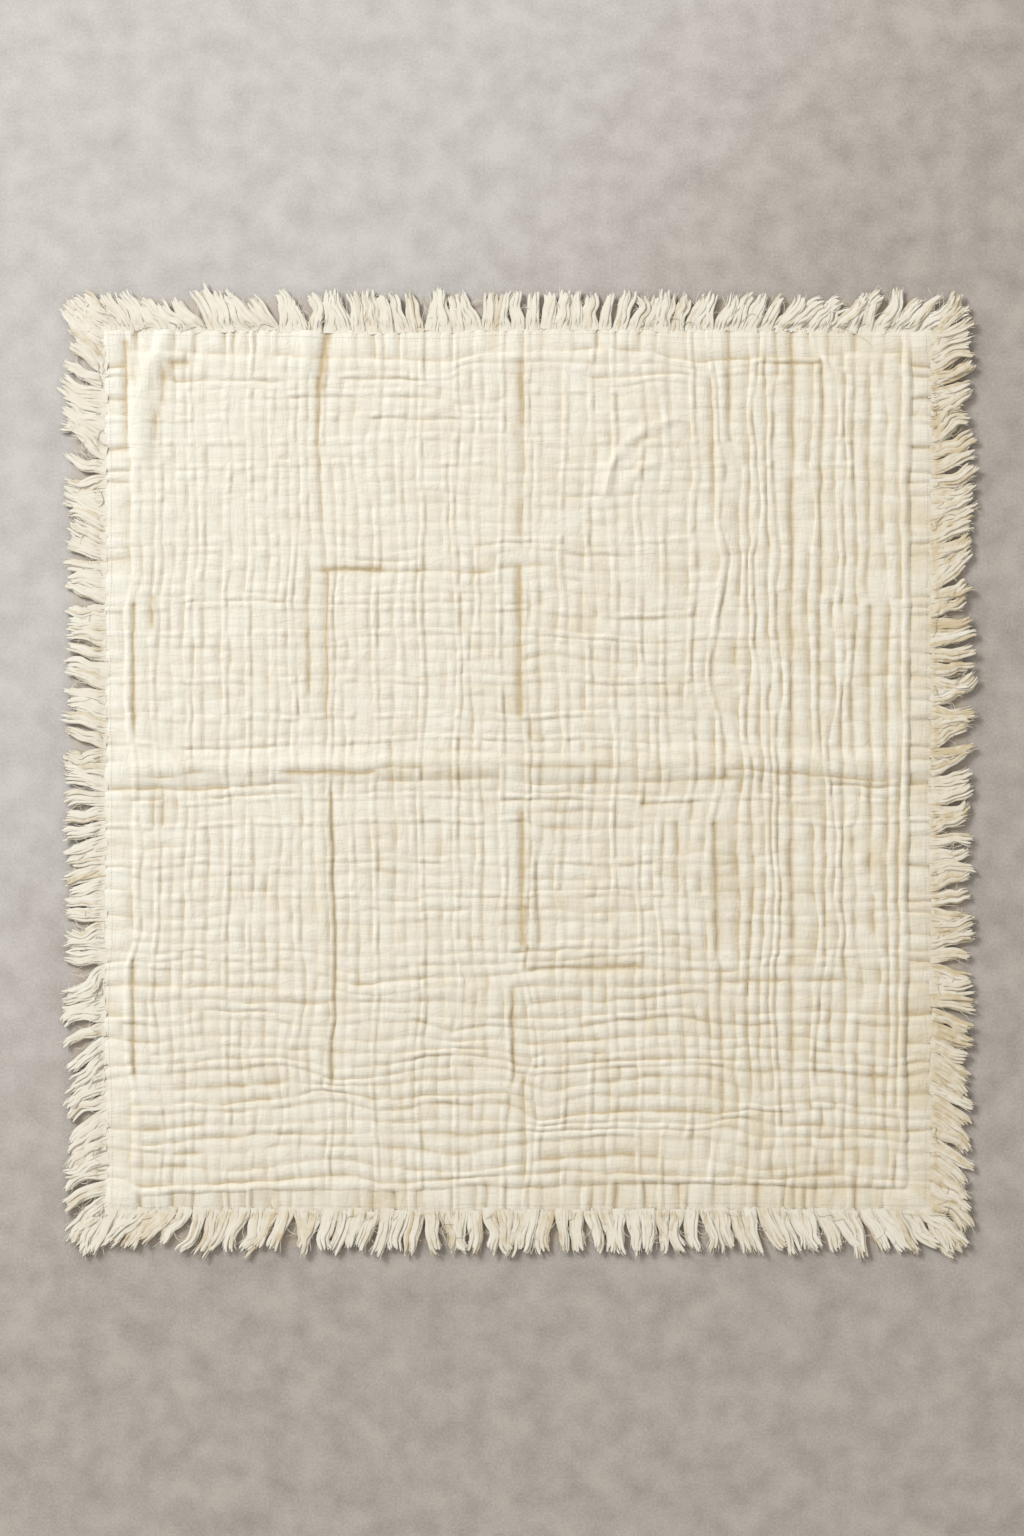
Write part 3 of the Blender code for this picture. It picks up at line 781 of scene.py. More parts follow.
@dataclass(frozen=True)
class FloorFinish:
    """Plain warm-grey surface with a faint mottle.

    It turns from its lit colour to a darker far one across a slanted band, painted light that falls off
    away from the upper left, and carries painted warm shade and bounced light under the fringe.
    """

    name: str = "warm_grey_surface"
    lit_colour: tuple[float, float, float] = (0.641, 0.617, 0.604)
    far_shade_colour: tuple[float, float, float] = (0.505, 0.466, 0.428)
    mottle_colour: tuple[float, float, float] = (0.30, 0.275, 0.25)
    fringe_shade_colour: tuple[float, float, float] = (0.62, 0.50, 0.35)
    slant: float = 0.75
    far_shade_band: tuple[float, float] = (-0.62, 0.02)
    grain_pitch: float = 0.0026
    cloud_pitch: float = 0.035
    fringe_shade_share: float = 0.36
    fringe_shade_band: tuple[float, float] = (0.028, 0.038)
    roughness: float = 0.85
    gloss: float = 0.25

    def material(self) -> bpy.types.Material:
        """Build the surface's material.

        Returns:
            The material.
        """
        bench = NodeBench(self.name)
        place = bench.add("SeparateXYZ")
        bench.join(bench.add("TexCoord").outputs["Object"], place.inputs[0])
        # painted light: lighter towards the upper left, painted shade towards the lower right
        down = bench.math("MULTIPLY", place.outputs[1], self.slant)
        far_shade = bench.band(bench.math("SUBTRACT", place.outputs[0], down), self.far_shade_band, (0.0, 1.0))
        colour = bench.tint(self.lit_colour, self.far_shade_colour, far_shade)
        grain = bench.streaks(self.grain_pitch, self.grain_pitch, 2.0)
        grain = bench.math("MULTIPLY", bench.math("SUBTRACT", grain, 0.35), 0.75)
        cloud = bench.streaks(self.cloud_pitch, self.cloud_pitch, 5.0)
        cloud = bench.math("MULTIPLY", bench.math("SUBTRACT", cloud, 0.4), 1.1)
        mottle = bench.math("MAXIMUM", bench.math("ADD", grain, cloud), 0.0)
        spread = bench.math("ADD", 0.75, bench.math("MULTIPLY", far_shade, 0.65))
        colour = bench.tint(colour, self.mottle_colour, bench.math("MULTIPLY", mottle, spread))
        # painted warm shade and bounced light under the fringe
        colour = bench.tint(colour, self.fringe_shade_colour, self.beside(bench, place))
        return bench.dress(colour, Roughness=self.roughness, Specular_IOR_Level=self.gloss)

    def beside(self, bench: NodeBench, place: bpy.types.Node) -> Socket:
        """Share of the painted warm shade and bounced light under the yarns that lie on the surface.

        Args:
            bench: The material's node tree.
            place: Node with the surface's X and Y.

        Returns:
            The share's socket: full under the fringe, none beyond its tips.
        """
        over_x = bench.math("SUBTRACT", bench.math("ABSOLUTE", place.outputs[0]), BlanketPlan.width / 2)
        over_y = bench.math("SUBTRACT", bench.math("ABSOLUTE", place.outputs[1]), BlanketPlan.length / 2)
        return bench.band(bench.math("MAXIMUM", over_x, over_y), self.fringe_shade_band, (self.fringe_shade_share, 0.0))


@dataclass
class BlanketPlan:
    """Sizes and edges that the cloth and its fringe share, as the solids have them."""

    width: float = 0.908
    length: float = 0.967
    hem: float = 0.028
    edge_wave: float = 0.0014
    rib_wander: float = 0.0042
    sweep: float = 0.0070
    ridge_foot_above: float = 0.024
    ridge_crest: float = 0.001
    ridge_foot_below: float = -0.022
    ridge_lift: float = 0.0024
    ridge_fade: float = 0.050
    shift: Vector = field(default_factory=lambda: Vector((0.0, 0.0, 0.0)))

    def __post_init__(self) -> None:
        """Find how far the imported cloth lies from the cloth's own middle."""
        low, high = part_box("cloth")
        middle = (low + high) / 2
        across = np.linspace(-self.width / 2, self.width / 2, 400)
        up = np.linspace(-self.length / 2, self.length / 2, 400)
        own_x = (self.wave(RIGHT, up).max() - self.wave(LEFT, up).max()) / 2
        own_y = (self.wave(TOP, across).max() - self.wave(BOTTOM, across).max()) / 2
        self.shift = Vector((middle.x - own_x, middle.y - own_y, 0.0))

    def wave(self, side: FringeSide, distance: Array | float) -> Array:
        """How far the cloth's edge strays outward.

        Args:
            side: The side of the blanket.
            distance: Distance along that side from its middle.

        Returns:
            The distance outward from the straight edge.
        """
        slow = np.sin(TURN * distance / 0.62 + side.wave)
        quick = np.sin(TURN * distance / 0.27 + 2.7 * side.wave)
        return self.edge_wave * (0.65 * slow + 0.35 * quick)

    def depth(self, side: FringeSide) -> float:
        """Distance from the cloth's middle to a side's straight edge."""
        return self.length / 2 if side.along[0] else self.width / 2

    def edge(self, side: FringeSide, distance: Array) -> Array:
        """Distance from the cloth's middle to a side's wavy edge, at distances along the side."""
        return self.depth(side) + self.wave(side, distance)

    def side_length(self, side: FringeSide) -> float:
        """Length of a side's straight edge."""
        return self.width if side.along[0] else self.length

    def inset(self, x: Array, y: Array) -> Array:
        """Distance of points from the nearest straight edge, inward."""
        return np.minimum(self.width / 2 - np.abs(x), self.length / 2 - np.abs(y))

    def drift(self, x: Array, y: Array) -> tuple[Array, Array]:
        """How far the ribs stray from straight, as in the solid.

        Args:
            x: X of the points on the straight grid.
            y: Y of the points on the straight grid.

        Returns:
            The distances along X and along Y.
        """
        inner = smooth(self.hem, 3 * self.hem, self.inset(x, y))
        slow = np.sin(TURN * (y / 0.36 + x / 0.55))
        quick = np.sin(TURN * (y / 0.17 + x / 0.70))
        bow = np.cos(math.pi * (x - 0.08) / self.width)
        sweep = 0.55 * np.sin(TURN * (x / 0.41 + 0.1) + 4 * y) * smooth(-0.1, -0.3, y)
        along_x = self.rib_wander * inner * (slow + 0.5 * quick)
        along_y = self.sweep * inner * (0.6 * bow + sweep)
        return along_x, along_y

    def lift(self, x: Array, y: Array) -> Array:
        """Height to which the main fold ridge raises the cloth.

        Args:
            x: X of the lying points.
            y: Y of the lying points.

        Returns:
            The height at each point.
        """
        straight = y - 0.6 * self.sweep * np.cos(math.pi * (x - 0.08) / self.width)
        above = (straight - self.ridge_crest) / (self.ridge_foot_above - self.ridge_crest)
        below = (straight - self.ridge_crest) / (self.ridge_foot_below - self.ridge_crest)
        share = np.clip(np.maximum(above, below), 0.0, 1.0)
        fade = smooth(0.0, self.ridge_fade, self.width / 2 - np.abs(x))
        return self.ridge_lift * fade * 0.5 * (1 + np.cos(math.pi * share))


@dataclass
class Family:
    """All grid lines of the cloth that run one way: rims, hems, furrows and ribs.

    Each line lies between two anchors, which are the cloth's edges and its furrows. "posts" has
    rows of a furrow's number and its place; the furrows between two posts are evenly spaced. "rims"
    has rows of a rim line's distance inward and its share of the cloth's height, and "hems" says
    where the hem's lines lie between the edge and the groove.
    """

    runs: Run
    half: float
    hem: float
    ribs: int
    posts: tuple[tuple[int, float], ...]
    rims: tuple[tuple[float, float], ...] = ((0.0007, 0.14), (0.0, 0.45), (0.0006, 0.86))
    hems: tuple[float, ...] = (0.10, 0.32, 0.62, 0.90)
    groove_slope: float = 0.35
    shoulder: float = 0.21
    shoulder_depth: float = 0.36

    def __post_init__(self) -> None:
        """List the lines from the low edge to the high one.

        A line's row says which anchor is before it, where it lies from there to the next anchor, the
        distance added to that, its shares of the furrow depths of the two anchors, and its share of
        the cloth's height.
        """
        slopes = [self.groove_slope if share == max(self.hems) else 0.0 for share in self.hems]
        hems = tuple(zip(self.hems, slopes))
        rows = [(0, 0.0, tuck, 0.0, 0.0, height) for tuck, height in self.rims]
        rows += [(0, share, 0.0, 0.0, slope, 1.0) for share, slope in hems]
        for k in range(1, self.ribs + 1):
            rows.append((k, 0.0, 0.0, 1.0, 0.0, 1.0))
            rows.append((k, self.shoulder, 0.0, self.shoulder_depth, 0.0, 1.0))
            rows.append((k, 0.5, 0.0, 0.0, 0.0, 1.0))
            rows.append((k, 1 - self.shoulder, 0.0, 0.0, self.shoulder_depth, 1.0))
        last = self.ribs + 1
        rows.append((last, 0.0, 0.0, 1.0, 0.0, 1.0))
        rows += [(last, 1 - share, 0.0, slope, 0.0, 1.0) for share, slope in reversed(hems)]
        rows += [(last, 1.0, -tuck, 0.0, 0.0, height) for tuck, height in reversed(self.rims)]
        columns = [np.array(column) for column in zip(*rows)]
        self.anchor, self.share, self.offset, self.own, self.following, self.rim_height = columns

    @property
    def even_furrows(self) -> Array:
        """Straight places of the furrows, the hems' grooves included."""
        groove = self.half - self.hem
        numbers, places = zip((0, -groove), *self.posts, (self.ribs, groove))
        return np.interp(np.arange(self.ribs + 1), numbers, places)

    def places(self, low: Array, furrows: Array, high: Array,
               pinch: Array) -> Array:
        """Place every line between the edges and furrows.

        Args:
            low: The low edge's place at each point along the lines.
            furrows: The furrows' places, one row a furrow.
            high: The high edge's place.
            pinch: How far each furrow's shoulders are drawn in towards it, from 0 to 1.

        Returns:
            The lines' places, one row a line.
        """
        anchors = np.vstack([low[None], furrows, high[None], high[None]])
        drawn = np.vstack([0 * low[None], pinch, 0 * high[None], 0 * high[None]])
        before, after = self.anchor, self.anchor + 1
        share = self.share[:, None]
        share = np.where(self.own[:, None] > 0, share * (1 - drawn[before]), share)
        share = np.where(self.following[:, None] > 0, 1 - (1 - share) * (1 - drawn[after]), share)
        return anchors[before] * (1 - share) + anchors[after] * share + self.offset[:, None]

    def straight(self) -> Array:
        """Places of all lines on the straight grid."""
        edge = np.array([self.half])
        furrows = self.even_furrows[:, None]
        return self.places(-edge, furrows, edge, 0 * furrows)[:, 0]

    def depths(self, furrows: Array) -> Array:
        """Depth of every line, from the furrows' depths.

        Args:
            furrows: The furrows' depths, one row a furrow.

        Returns:
            The lines' depths, one row a line.
        """
        none = np.zeros_like(furrows[:1])
        anchors = np.vstack([none, furrows, none, none])
        own, following = self.own[:, None], self.following[:, None]
        return anchors[self.anchor] * own + anchors[self.anchor + 1] * following

    def between(self, ribs: Array) -> Array:
        """Give each line the value of the rib that it lies on.

        Args:
            ribs: A row for each anchor, with the value of the rib after it.

        Returns:
            The lines' values, one row a line; a furrow takes the mean of its two ribs.
        """
        before = ribs[np.maximum(self.anchor - 1, 0)]
        own = ribs[self.anchor]
        return np.where(self.share[:, None] == 0.0, 0.5 * (before + own), own)


@dataclass
class Furrows:
    """One family's furrows on the lying cloth, between the cloth's low and high edge.

    "along" has the straight places along them. "place" and "depth" have a row for each furrow. "sunk"
    has a row for each anchor, and says how far the rib after it sinks with a deep crease.
    """

    family: Family
    along: Array
    low: Array
    high: Array
    place: Array = field(init=False)
    depth: Array = field(init=False)
    sunk: Array = field(init=False)

    def __post_init__(self) -> None:
        """Start with straight furrows of no depth."""
        self.place = self.family.even_furrows[:, None] + np.zeros_like(self.along)[None]
        self.depth = np.zeros_like(self.place)
        self.sunk = np.zeros((len(self.place) + 2, len(self.along)))


@dataclass
class Led:
    """A furrow that a crease leads, and where."""

    crease: Crease
    furrow: int
    middle: float
    window: Array
    line: Array


@dataclass
class GauzeCloth:
    """The blanket's cloth: a face layer with its crinkle, and a plainer layer behind it.

    The folds have rows of a furrow's number and its place. "leading" has rows of how many furrows
    and how much length a crease pulls with it, from a broad pull to a close one.
    """

    plan: BlanketPlan
    seed: int = 20
    flat_size: tuple[float, float] = (0.91, 0.97)
    ribs_down: int = 65
    ribs_across: int = 69
    folds_down: tuple[tuple[int, float], ...] = ((17, -0.2125), (34, 0.0015), (50, 0.2200))
    folds_across: tuple[tuple[int, float], ...] = ((17, -0.2250), (33, -0.0120), (51, 0.2190))
    base_height: float = 3.7 * MM
    lowest: float = 0.6 * MM
    puff_height: float = 1.15 * MM
    smallest_rib: float = 7.0 * MM
    down_depth: float = 2.45 * MM
    across_depth: float = 1.98 * MM
    groove_depth: float = 1.7 * MM
    deepest: float = 2.9 * MM
    steepest: float = 0.28
    drawn_in: float = 0.28
    cell_chance: float = 0.7
    loose: float = 5.5 * MM
    looser: float = 2.5 * MM
    uneven: float = 7.0 * MM
    waver: float = 3.0 * MM
    waver_from: float = 240
    hem_base: float = 2.7 * MM
    hem_puff: float = 1.9 * MM
    hem_fall: float = 1.3 * MM
    hem_crinkle: float = 1.4
    # share of painted shade in the troughs of the hems' folds
    hem_fold_shade: float = 1.3
    crease_depth: float = 1.24
    crease_end: float = 13 * MM
    crease_reach: float = 9.0 * MM
    leading: tuple[tuple[float, float], ...] = ((2.2, 0.060), (1.2, 0.030), (0.8, 0.018), (0.6, 0.012))
    stiffness: float = 0.2
    slant_fade: float = 0.6
    back_margin: float = 1.6 * MM
    back_grid: tuple[int, int] = (110, 116)

    def __post_init__(self) -> None:
        """Lay out the grid lines."""
        plan = self.plan
        self.rng = np.random.default_rng(self.seed)
        self.down = Family(Run.DOWN, plan.width / 2, plan.hem, self.ribs_down, self.folds_down)
        self.across = Family(Run.ACROSS, plan.length / 2, plan.hem, self.ribs_across, self.folds_across)
        self.columns = self.down.straight()
        self.rows = self.across.straight()

    def wander(self, furrows: Furrows) -> None:
        """Let straight furrows wander, more loosely along the right side.

        Args:
            furrows: The furrows, which get their places.
        """
        start, along = furrows.place, furrows.along
        if furrows.family.runs is Run.DOWN:
            common = 0.35 * self.plan.drift(start, along[None] + 0 * start)[0]
            loose = self.loose + self.looser * smooth(0.20, 0.26, start)
        else:
            common = 0.6 * self.plan.drift(along[None] + 0 * start, start)[1]
            loose = self.loose
        own = (line_noise(self.rng, len(start), along, 0.055) - 0.5) * loose
        own += (self.rng.random((len(start), 1)) - 0.5) * self.uneven
        own[[0, -1]] *= 0.5
        furrows.place = start + common + own

    def deepen(self, furrows: Furrows, other: Family) -> None:
        """Make the ordinary furrows deep, by the zones of the cloth and by chance.

        Args:
            furrows: The furrows, which get their depths.
            other: The family that crosses them.
        """
        along, count = furrows.along, len(furrows.place)
        zone, steady = self.zones(furrows)
        across_run = furrows.family.runs is Run.ACROSS
        depth = self.across_depth if across_run else self.down_depth
        steps = ((0.28, 0.130), (0.36, 0.036), (0.36, 0.0125))
        chance = sum(share * line_noise(self.rng, count, along, step) for share, step in steps)
        cells = other.between(self.rng.random((other.ribs + 2, count))).T
        shaped = smooth(0.22, 0.74, chance)
        strength = depth * zone * (steady + (1 - steady) * (0.08 + 0.92 * shaped))
        strength = strength * (1 + self.cell_chance * (cells - 0.5))
        hem = smooth(self.plan.hem + 0.004, self.plan.hem - 0.004, other.half - np.abs(along))[None]
        seldom = self.rng.random((count, 1)) ** 2.6
        shaded = 1 + 0.2 * np.sign(along)[None] * (1 if across_run else -1)
        seldom = seldom * (0.35 + 1.3 * line_noise(self.rng, count, along, 0.013))
        strength = strength * (1 - hem) + hem * depth * (0.10 + self.hem_crinkle * seldom * shaded)
        grooves = self.groove_depth * (0.15 + 1.1 * smooth(0.2, 0.8, chance[[0, -1]])) * (1 - 0.7 * hem)
        strength[[0, -1]] = grooves
        furrows.depth = strength

    def zones(self, furrows: Furrows) -> tuple[Array, Array]:
        """How strong the furrows are in each part of the cloth.

        Those that run down are strong and steady along the right side, and those that run across are
        strong in the lower part. Both are weak near the top.

        Args:
            furrows: The furrows of one family.

        Returns:
            The share of the full depth, and the share of that which doesn't change by chance.
        """
        across, along = furrows.family.even_furrows[:, None], furrows.along[None]
        if furrows.family.runs is Run.DOWN:
            x, y = across, along
            right = smooth(0.16, 0.23, x)
            low = smooth(-0.26, -0.38, y)
            zone = 0.60 + 0.06 * smooth(-0.30, -0.10, x) + 0.35 * right - 0.10 * low
            zone = zone * (1 - 0.22 * smooth(0.20, 0.30, y))
            return zone, 0.32 + 0.44 * right * (1 - 0.5 * low)
        x, y = along, across
        right = smooth(0.16, 0.23, x)
        low = smooth(-0.10, -0.36, y)
        zone = 0.46 + 0.07 * smooth(-0.15, 0.0, x) + 0.40 * low - 0.22 * right * (1 - 0.5 * low)
        zone = zone * (1 - 0.15 * smooth(-0.10, -0.22, x)) * (1 - 0.28 * smooth(0.16, 0.26, y))
        return zone, 0.22 + 0.25 * low

    def match(self, furrows: Furrows, creases: tuple[Crease, ...]) -> list[Led]:
        """Find a furrow for each crease: the nearest one that keeps neighbouring creases in order.

        The long, deep creases come first.

        Args:
            furrows: The furrows of one family.
            creases: The creases that run the family's way.

        Returns:
            The creases that have a furrow near enough, with that furrow.
        """
        along = furrows.along
        runs_down = furrows.family.runs is Run.DOWN
        shift_over, shift_along = self.plan.shift.xy if runs_down else self.plan.shift.yx
        led: list[Led] = []
        order = np.arange(len(furrows.place))
        for crease in sorted(creases, key=lambda one: -one.depth ** 2 * abs(one.end - one.start)):
            start, end = crease.start * MM - shift_along, crease.end * MM - shift_along
            low, high = min(start, end), max(start, end)
            ramp = min(self.crease_end, 0.4 * (high - low))
            window = smooth(low - 0.3 * ramp, low + 0.7 * ramp, along)
            window = window * smooth(high + 0.3 * ramp, high - 0.7 * ramp, along)
            part = np.clip((along - start) / (end - start), 0, 1)
            line = (crease.at + (crease.at_end - crease.at) * part) * MM - shift_over
            line = line + crease.bow * MM * 4 * part * (1 - part)
            if runs_down and crease.at > self.waver_from:
                sway = line_noise(self.rng, 1, along, 0.050)[0] - 0.5
                line = line + self.waver * sway * smooth(0.08, 0.25, high - low)
            gap = (np.abs(furrows.place - line) * window).sum(1) / window.sum()
            middle = float((line * window).sum() / window.sum())
            for other in led:
                if (other.window * window).sum() > 0.3:
                    over = order <= other.furrow if middle > other.middle else order >= other.furrow
                    gap = np.where(over, np.inf, gap)
            if gap.min() < self.crease_reach:
                led.append(Led(crease, int(np.argmin(gap)), middle, window, line))
        return led

    def press(self, furrows: Furrows, creases: tuple[Crease, ...]) -> None:
        """Lead furrows through the creases, and deepen them there.

        The furrows beside a crease follow it, in steps from a broad pull to a close one. Those that
        run down fade where that makes them slant.

        Args:
            furrows: The furrows of one family, which change.
            creases: The creases that run the family's way.
        """
        led = self.match(furrows, creases)
        along, place, depth = furrows.along, furrows.place, furrows.depth
        order = np.arange(len(place)) * 1.0
        weight = np.zeros_like(place)
        for one in led:
            weight[one.furrow] = np.maximum(weight[one.furrow], one.window)
        for spread, run in self.leading:
            near = np.exp(-(((order[:, None] - order[None]) / spread) ** 2))
            close = np.exp(-(((along[:, None] - along[None]) / run) ** 2))
            close /= close.sum(axis=0).max()
            pull = np.zeros_like(place)
            for one in led:
                pull[one.furrow] += (one.line - place[one.furrow]) * one.window
            place += near @ pull @ close / (near @ weight @ close + self.stiffness)
        if furrows.family.runs is Run.DOWN:
            slant = np.abs(np.gradient(place, along, axis=1))
            depth *= 1 - self.slant_fade * smooth(0.05, 0.15, slant)
        for one in led:
            unevenness = 0.62 + 0.75 * line_noise(self.rng, 1, along, 0.017)[0]
            deep = one.crease.depth * self.crease_depth * MM * one.window * unevenness
            depth[one.furrow] = np.maximum(depth[one.furrow], deep)
            furrows.sunk[one.furrow + 1] += one.crease.sunk * MM * one.window

    def roughen(self, furrows: Furrows) -> None:
        """Round the furrows' kinks, then let them waver by a thread or two.

        Args:
            furrows: The furrows of one family, whose places change.
        """
        place = furrows.place
        for _ in range(3):
            place[:, 1:-1] += 0.25 * (place[:, :-2] + place[:, 2:] - 2 * place[:, 1:-1])
        for step, reach in ((0.022, 1.7), (0.009, 1.1)):
            place += (line_noise(self.rng, len(place), furrows.along, step) - 0.5) * reach * MM

    def relax(self, furrows: Furrows) -> None:
        """Push furrows apart that have come too close, and make close ones shallow.

        Args:
            furrows: The furrows of one family, whose places and depths change.
        """
        place, low, high = furrows.place, furrows.low, furrows.high
        hem = 0.6 * self.plan.hem
        for _ in range(40):
            short = np.maximum(0.0, self.smallest_rib - np.diff(place, axis=0))
            place[:-1] -= 0.5 * short
            place[1:] += 0.5 * short
            place[0] = np.maximum(place[0], low + hem)
            place[-1] = np.minimum(place[-1], high - hem)
        gap = np.diff(np.vstack([low[None], place, high[None]]), axis=0)
        furrows.depth = np.minimum(furrows.depth, self.steepest * np.minimum(gap[:-1], gap[1:]))

    def swell(self, x: Array, y: Array) -> tuple[Array, Array, Array]:
        """Height of the listed soft ridges and troughs, and how calm they are.

        Args:
            x: X of the points.
            y: Y of the points.

        Returns:
            The height at each point, the share by which its furrows fade, and the painted warm shade of
            its troughs.
        """
        height, trough, calm, trough_shade = (np.zeros_like(x) for _ in range(4))
        for ridge in SWELLS:
            spots = np.array(ridge.points) * MM - np.array(self.plan.shift)[:2]
            nearest = np.full_like(x, np.inf)
            for (x0, y0), (x1, y1) in zip(spots[:-1], spots[1:]):
                run_x, run_y = x1 - x0, y1 - y0
                part = ((x - x0) * run_x + (y - y0) * run_y) / (run_x ** 2 + run_y ** 2)
                part = np.clip(part, 0, 1)
                nearest = np.minimum(nearest, np.hypot(x - x0 - part * run_x, y - y0 - part * run_y))
            round_top = np.exp(-((nearest / (0.6 * ridge.half_width * MM)) ** 2))
            height = np.maximum(height, ridge.height * MM * round_top)
            trough = np.minimum(trough, ridge.height * MM * round_top)
            calm = np.maximum(calm, ridge.calm * round_top)
            trough_shade = np.maximum(trough_shade, ridge.trough_shade * round_top)
        return height + trough, calm, trough_shade * (0.4 + 1.1 * field_noise(self.rng, x, y, 0.015))

    def shape(self) -> None:
        """Work out where every grid point of the face layer lies."""
        plan, rows, columns = self.plan, self.rows, self.columns
        down = Furrows(self.down, rows, -plan.edge(LEFT, rows), plan.edge(RIGHT, rows))
        across = Furrows(self.across, columns, -plan.edge(BOTTOM, columns), plan.edge(TOP, columns))
        for furrows in (down, across):
            self.wander(furrows)
        for furrows, crossing in ((down, self.across), (across, self.down)):
            self.deepen(furrows, crossing)
        for furrows, creases in ((down, CREASES_DOWN), (across, CREASES_ACROSS)):
            self.press(furrows, creases)
        for furrows in (down, across):
            self.roughen(furrows)
            self.relax(furrows)
        self.x = self.down.places(down.low, down.place, down.high, self.pinch(down.depth))
        self.y = self.across.places(across.low, across.place, across.high, self.pinch(across.depth)).T
        self.warp()
        furrow_x = self.down.depths(down.depth)
        furrow_y = self.across.depths(across.depth).T
        sunk = self.down.between(down.sunk) + self.across.between(across.sunk).T
        self.z, self.furrow = self.heights(furrow_x, furrow_y, sunk)
        self.shade = self.plaid()

    def pinch(self, depth: Array) -> Array:
        """How far a furrow's shoulders are drawn in: a deep crease stays wider."""
        return self.drawn_in * (1 - 0.8 * smooth(0.45 * self.deepest, 0.9 * self.deepest, depth))

    def hem_folds(self) -> Array:
        """Soft folds of the hems, which run out to the edge.

        Returns:
            The fold at each point, 0 in a trough and 1 on top.
        """
        beside = self.plan.width / 2 - np.abs(self.x) < self.plan.length / 2 - np.abs(self.y)
        over_sides = field_noise(self.rng, self.x / 4, self.y, 0.013)
        over_ends = field_noise(self.rng, self.x, self.y / 4, 0.013)
        return np.where(beside, over_sides, over_ends)

    def warp(self) -> None:
        """Pull the cloth a little out of true, more softly near its edges."""
        inner = smooth(0.0, 0.05, self.plan.inset(self.x, self.y))
        x, y = self.x.copy(), self.y.copy()
        for grid in (self.x, self.y):
            for step, reach in ((0.060, 3.4), (0.021, 1.6)):
                grid += (field_noise(self.rng, x, y, step) - 0.5) * reach * MM * inner

    def plaid(self) -> Array:
        """Painted shade over the ribs: warm bands both ways, which cross as in a plaid, stronger towards
        the lower right away from the light, and in the hems' fold troughs.

        Returns:
            The painted shade of each point.
        """
        bands = []
        for family, places in ((self.down, self.rows), (self.across, self.columns)):
            slow = 0.5 * line_noise(self.rng, family.ribs + 2, places, 0.060)
            quick = 0.5 * line_noise(self.rng, family.ribs + 2, places, 0.015)
            bands.append(family.between((slow + quick) ** 1.5))
        shade = 0.55 * bands[0] + 0.45 * bands[1].T
        patch = 0.75 + 0.5 * field_noise(self.rng, self.x, self.y, 0.028)
        cells = self.rng.random((self.ribs_down + 2, self.ribs_across + 2))[self.down.anchor]
        shade = shade + 0.10 * (cells[:, self.across.anchor] - 0.5)
        hem = smooth(self.plan.hem, 0.8 * self.plan.hem, self.plan.inset(self.x, self.y))
        # painted shade: warmer and darker towards the lower right, away from the light
        slant = (1.3 * self.x - 0.7 * self.y) / self.plan.width
        # painted shade in the troughs of the hems' folds, and over the right and bottom hem
        folds = np.clip(0.45 - self.folds, 0, 1) * self.hem_fold_shade * (1 + 0.15 * slant)
        return shade * patch * (0.80 + 0.60 * slant) + hem * (folds + 0.16 * slant)

    def crowns(self, family: Family) -> Array:
        """How much of a puff's height each line of a family has.

        Args:
            family: The ribs of one way.

        Returns:
            The share of each line, 0 in a furrow or hem.
        """
        values = []
        for anchor, share in zip(family.anchor, family.share):
            on_rib = 1 <= anchor <= family.ribs and share > 0
            values.append(math.sin(math.pi * share) ** 0.6 if on_rib else 0.0)
        return np.array(values)

    def heights(self, furrow_x: Array, furrow_y: Array,
                sunk: Array) -> tuple[Array, Array]:
        """Work out the face layer's heights.

        Args:
            furrow_x: Depth at each point from the furrows that run down.
            furrow_y: Depth at each point from the furrows that run across.
            sunk: How far each point sinks with a deep crease beside it.

        Returns:
            The height of each point, and how deep in a furrow it lies, from 0 to 1, which the gauze
            paints as warm shade.
        """
        plan = self.plan
        inset = plan.inset(self.columns[:, None], self.rows[None])
        inner = smooth(plan.hem - 0.002, plan.hem + 0.006, inset)
        base = self.hem_base + (self.base_height - self.hem_base) * inner
        base = base - self.hem_fall * np.clip(1 - inset / plan.hem, 0, 1)
        puffs = self.rng.random((self.ribs_down + 3, self.ribs_across + 3)) - 0.3
        puff = puffs[self.down.anchor][:, self.across.anchor]
        crown = self.crowns(self.down)[:, None] * self.crowns(self.across)[None]
        edge = 0.25 + 0.75 * smooth(0.0, 0.45 * plan.hem, inset)
        self.folds = self.hem_folds()
        hem_puff = self.folds * self.hem_puff * (1 - inner) * edge
        slow = field_noise(self.rng, self.x, self.y, 0.11) * 1.0 * MM
        quick = field_noise(self.rng, self.x, self.y, 0.035) * 0.7 * MM
        swell, calm, trough_shade = self.swell(self.x, self.y)
        depth = 0.92 * (furrow_x + furrow_y) - 0.30 * np.minimum(furrow_x, furrow_y)
        depth = np.minimum(depth, self.deepest) * (1 - calm)
        height = base + hem_puff + (slow + quick) * inner + self.puff_height * puff * crown * (1 - calm)
        height = height + swell + plan.lift(self.x, self.y) - depth - 0.8 * sunk
        height = np.maximum(height, self.lowest)
        rim = np.minimum(self.down.rim_height[:, None], self.across.rim_height[None])
        # painted shade: deep furrows, sunk ribs and the troughs' painted shade make the gauze warm and
        # dark
        furrow = np.clip(depth / (0.9 * self.deepest) + 0.5 * sunk / MM + trough_shade, 0, 1)
        return height * rim, furrow * np.clip(rim, 0, 1)

    def face(self, material: bpy.types.Material) -> bpy.types.Object:
        """Build the face layer.

        Args:
            material: The gauze.

        Returns:
            The face.
        """
        points = np.stack([self.x, self.y, self.z], axis=-1)[:, ::-1].reshape(-1, 3)
        points = points + np.array(self.plan.shift)
        tints = {"furrow": self.furrow[:, ::-1].reshape(-1), "plaid": self.shade[:, ::-1].reshape(-1)}
        faces = grid_faces(len(self.columns), len(self.rows))
        return make_mesh("gauze_face", points, faces, tints, material)

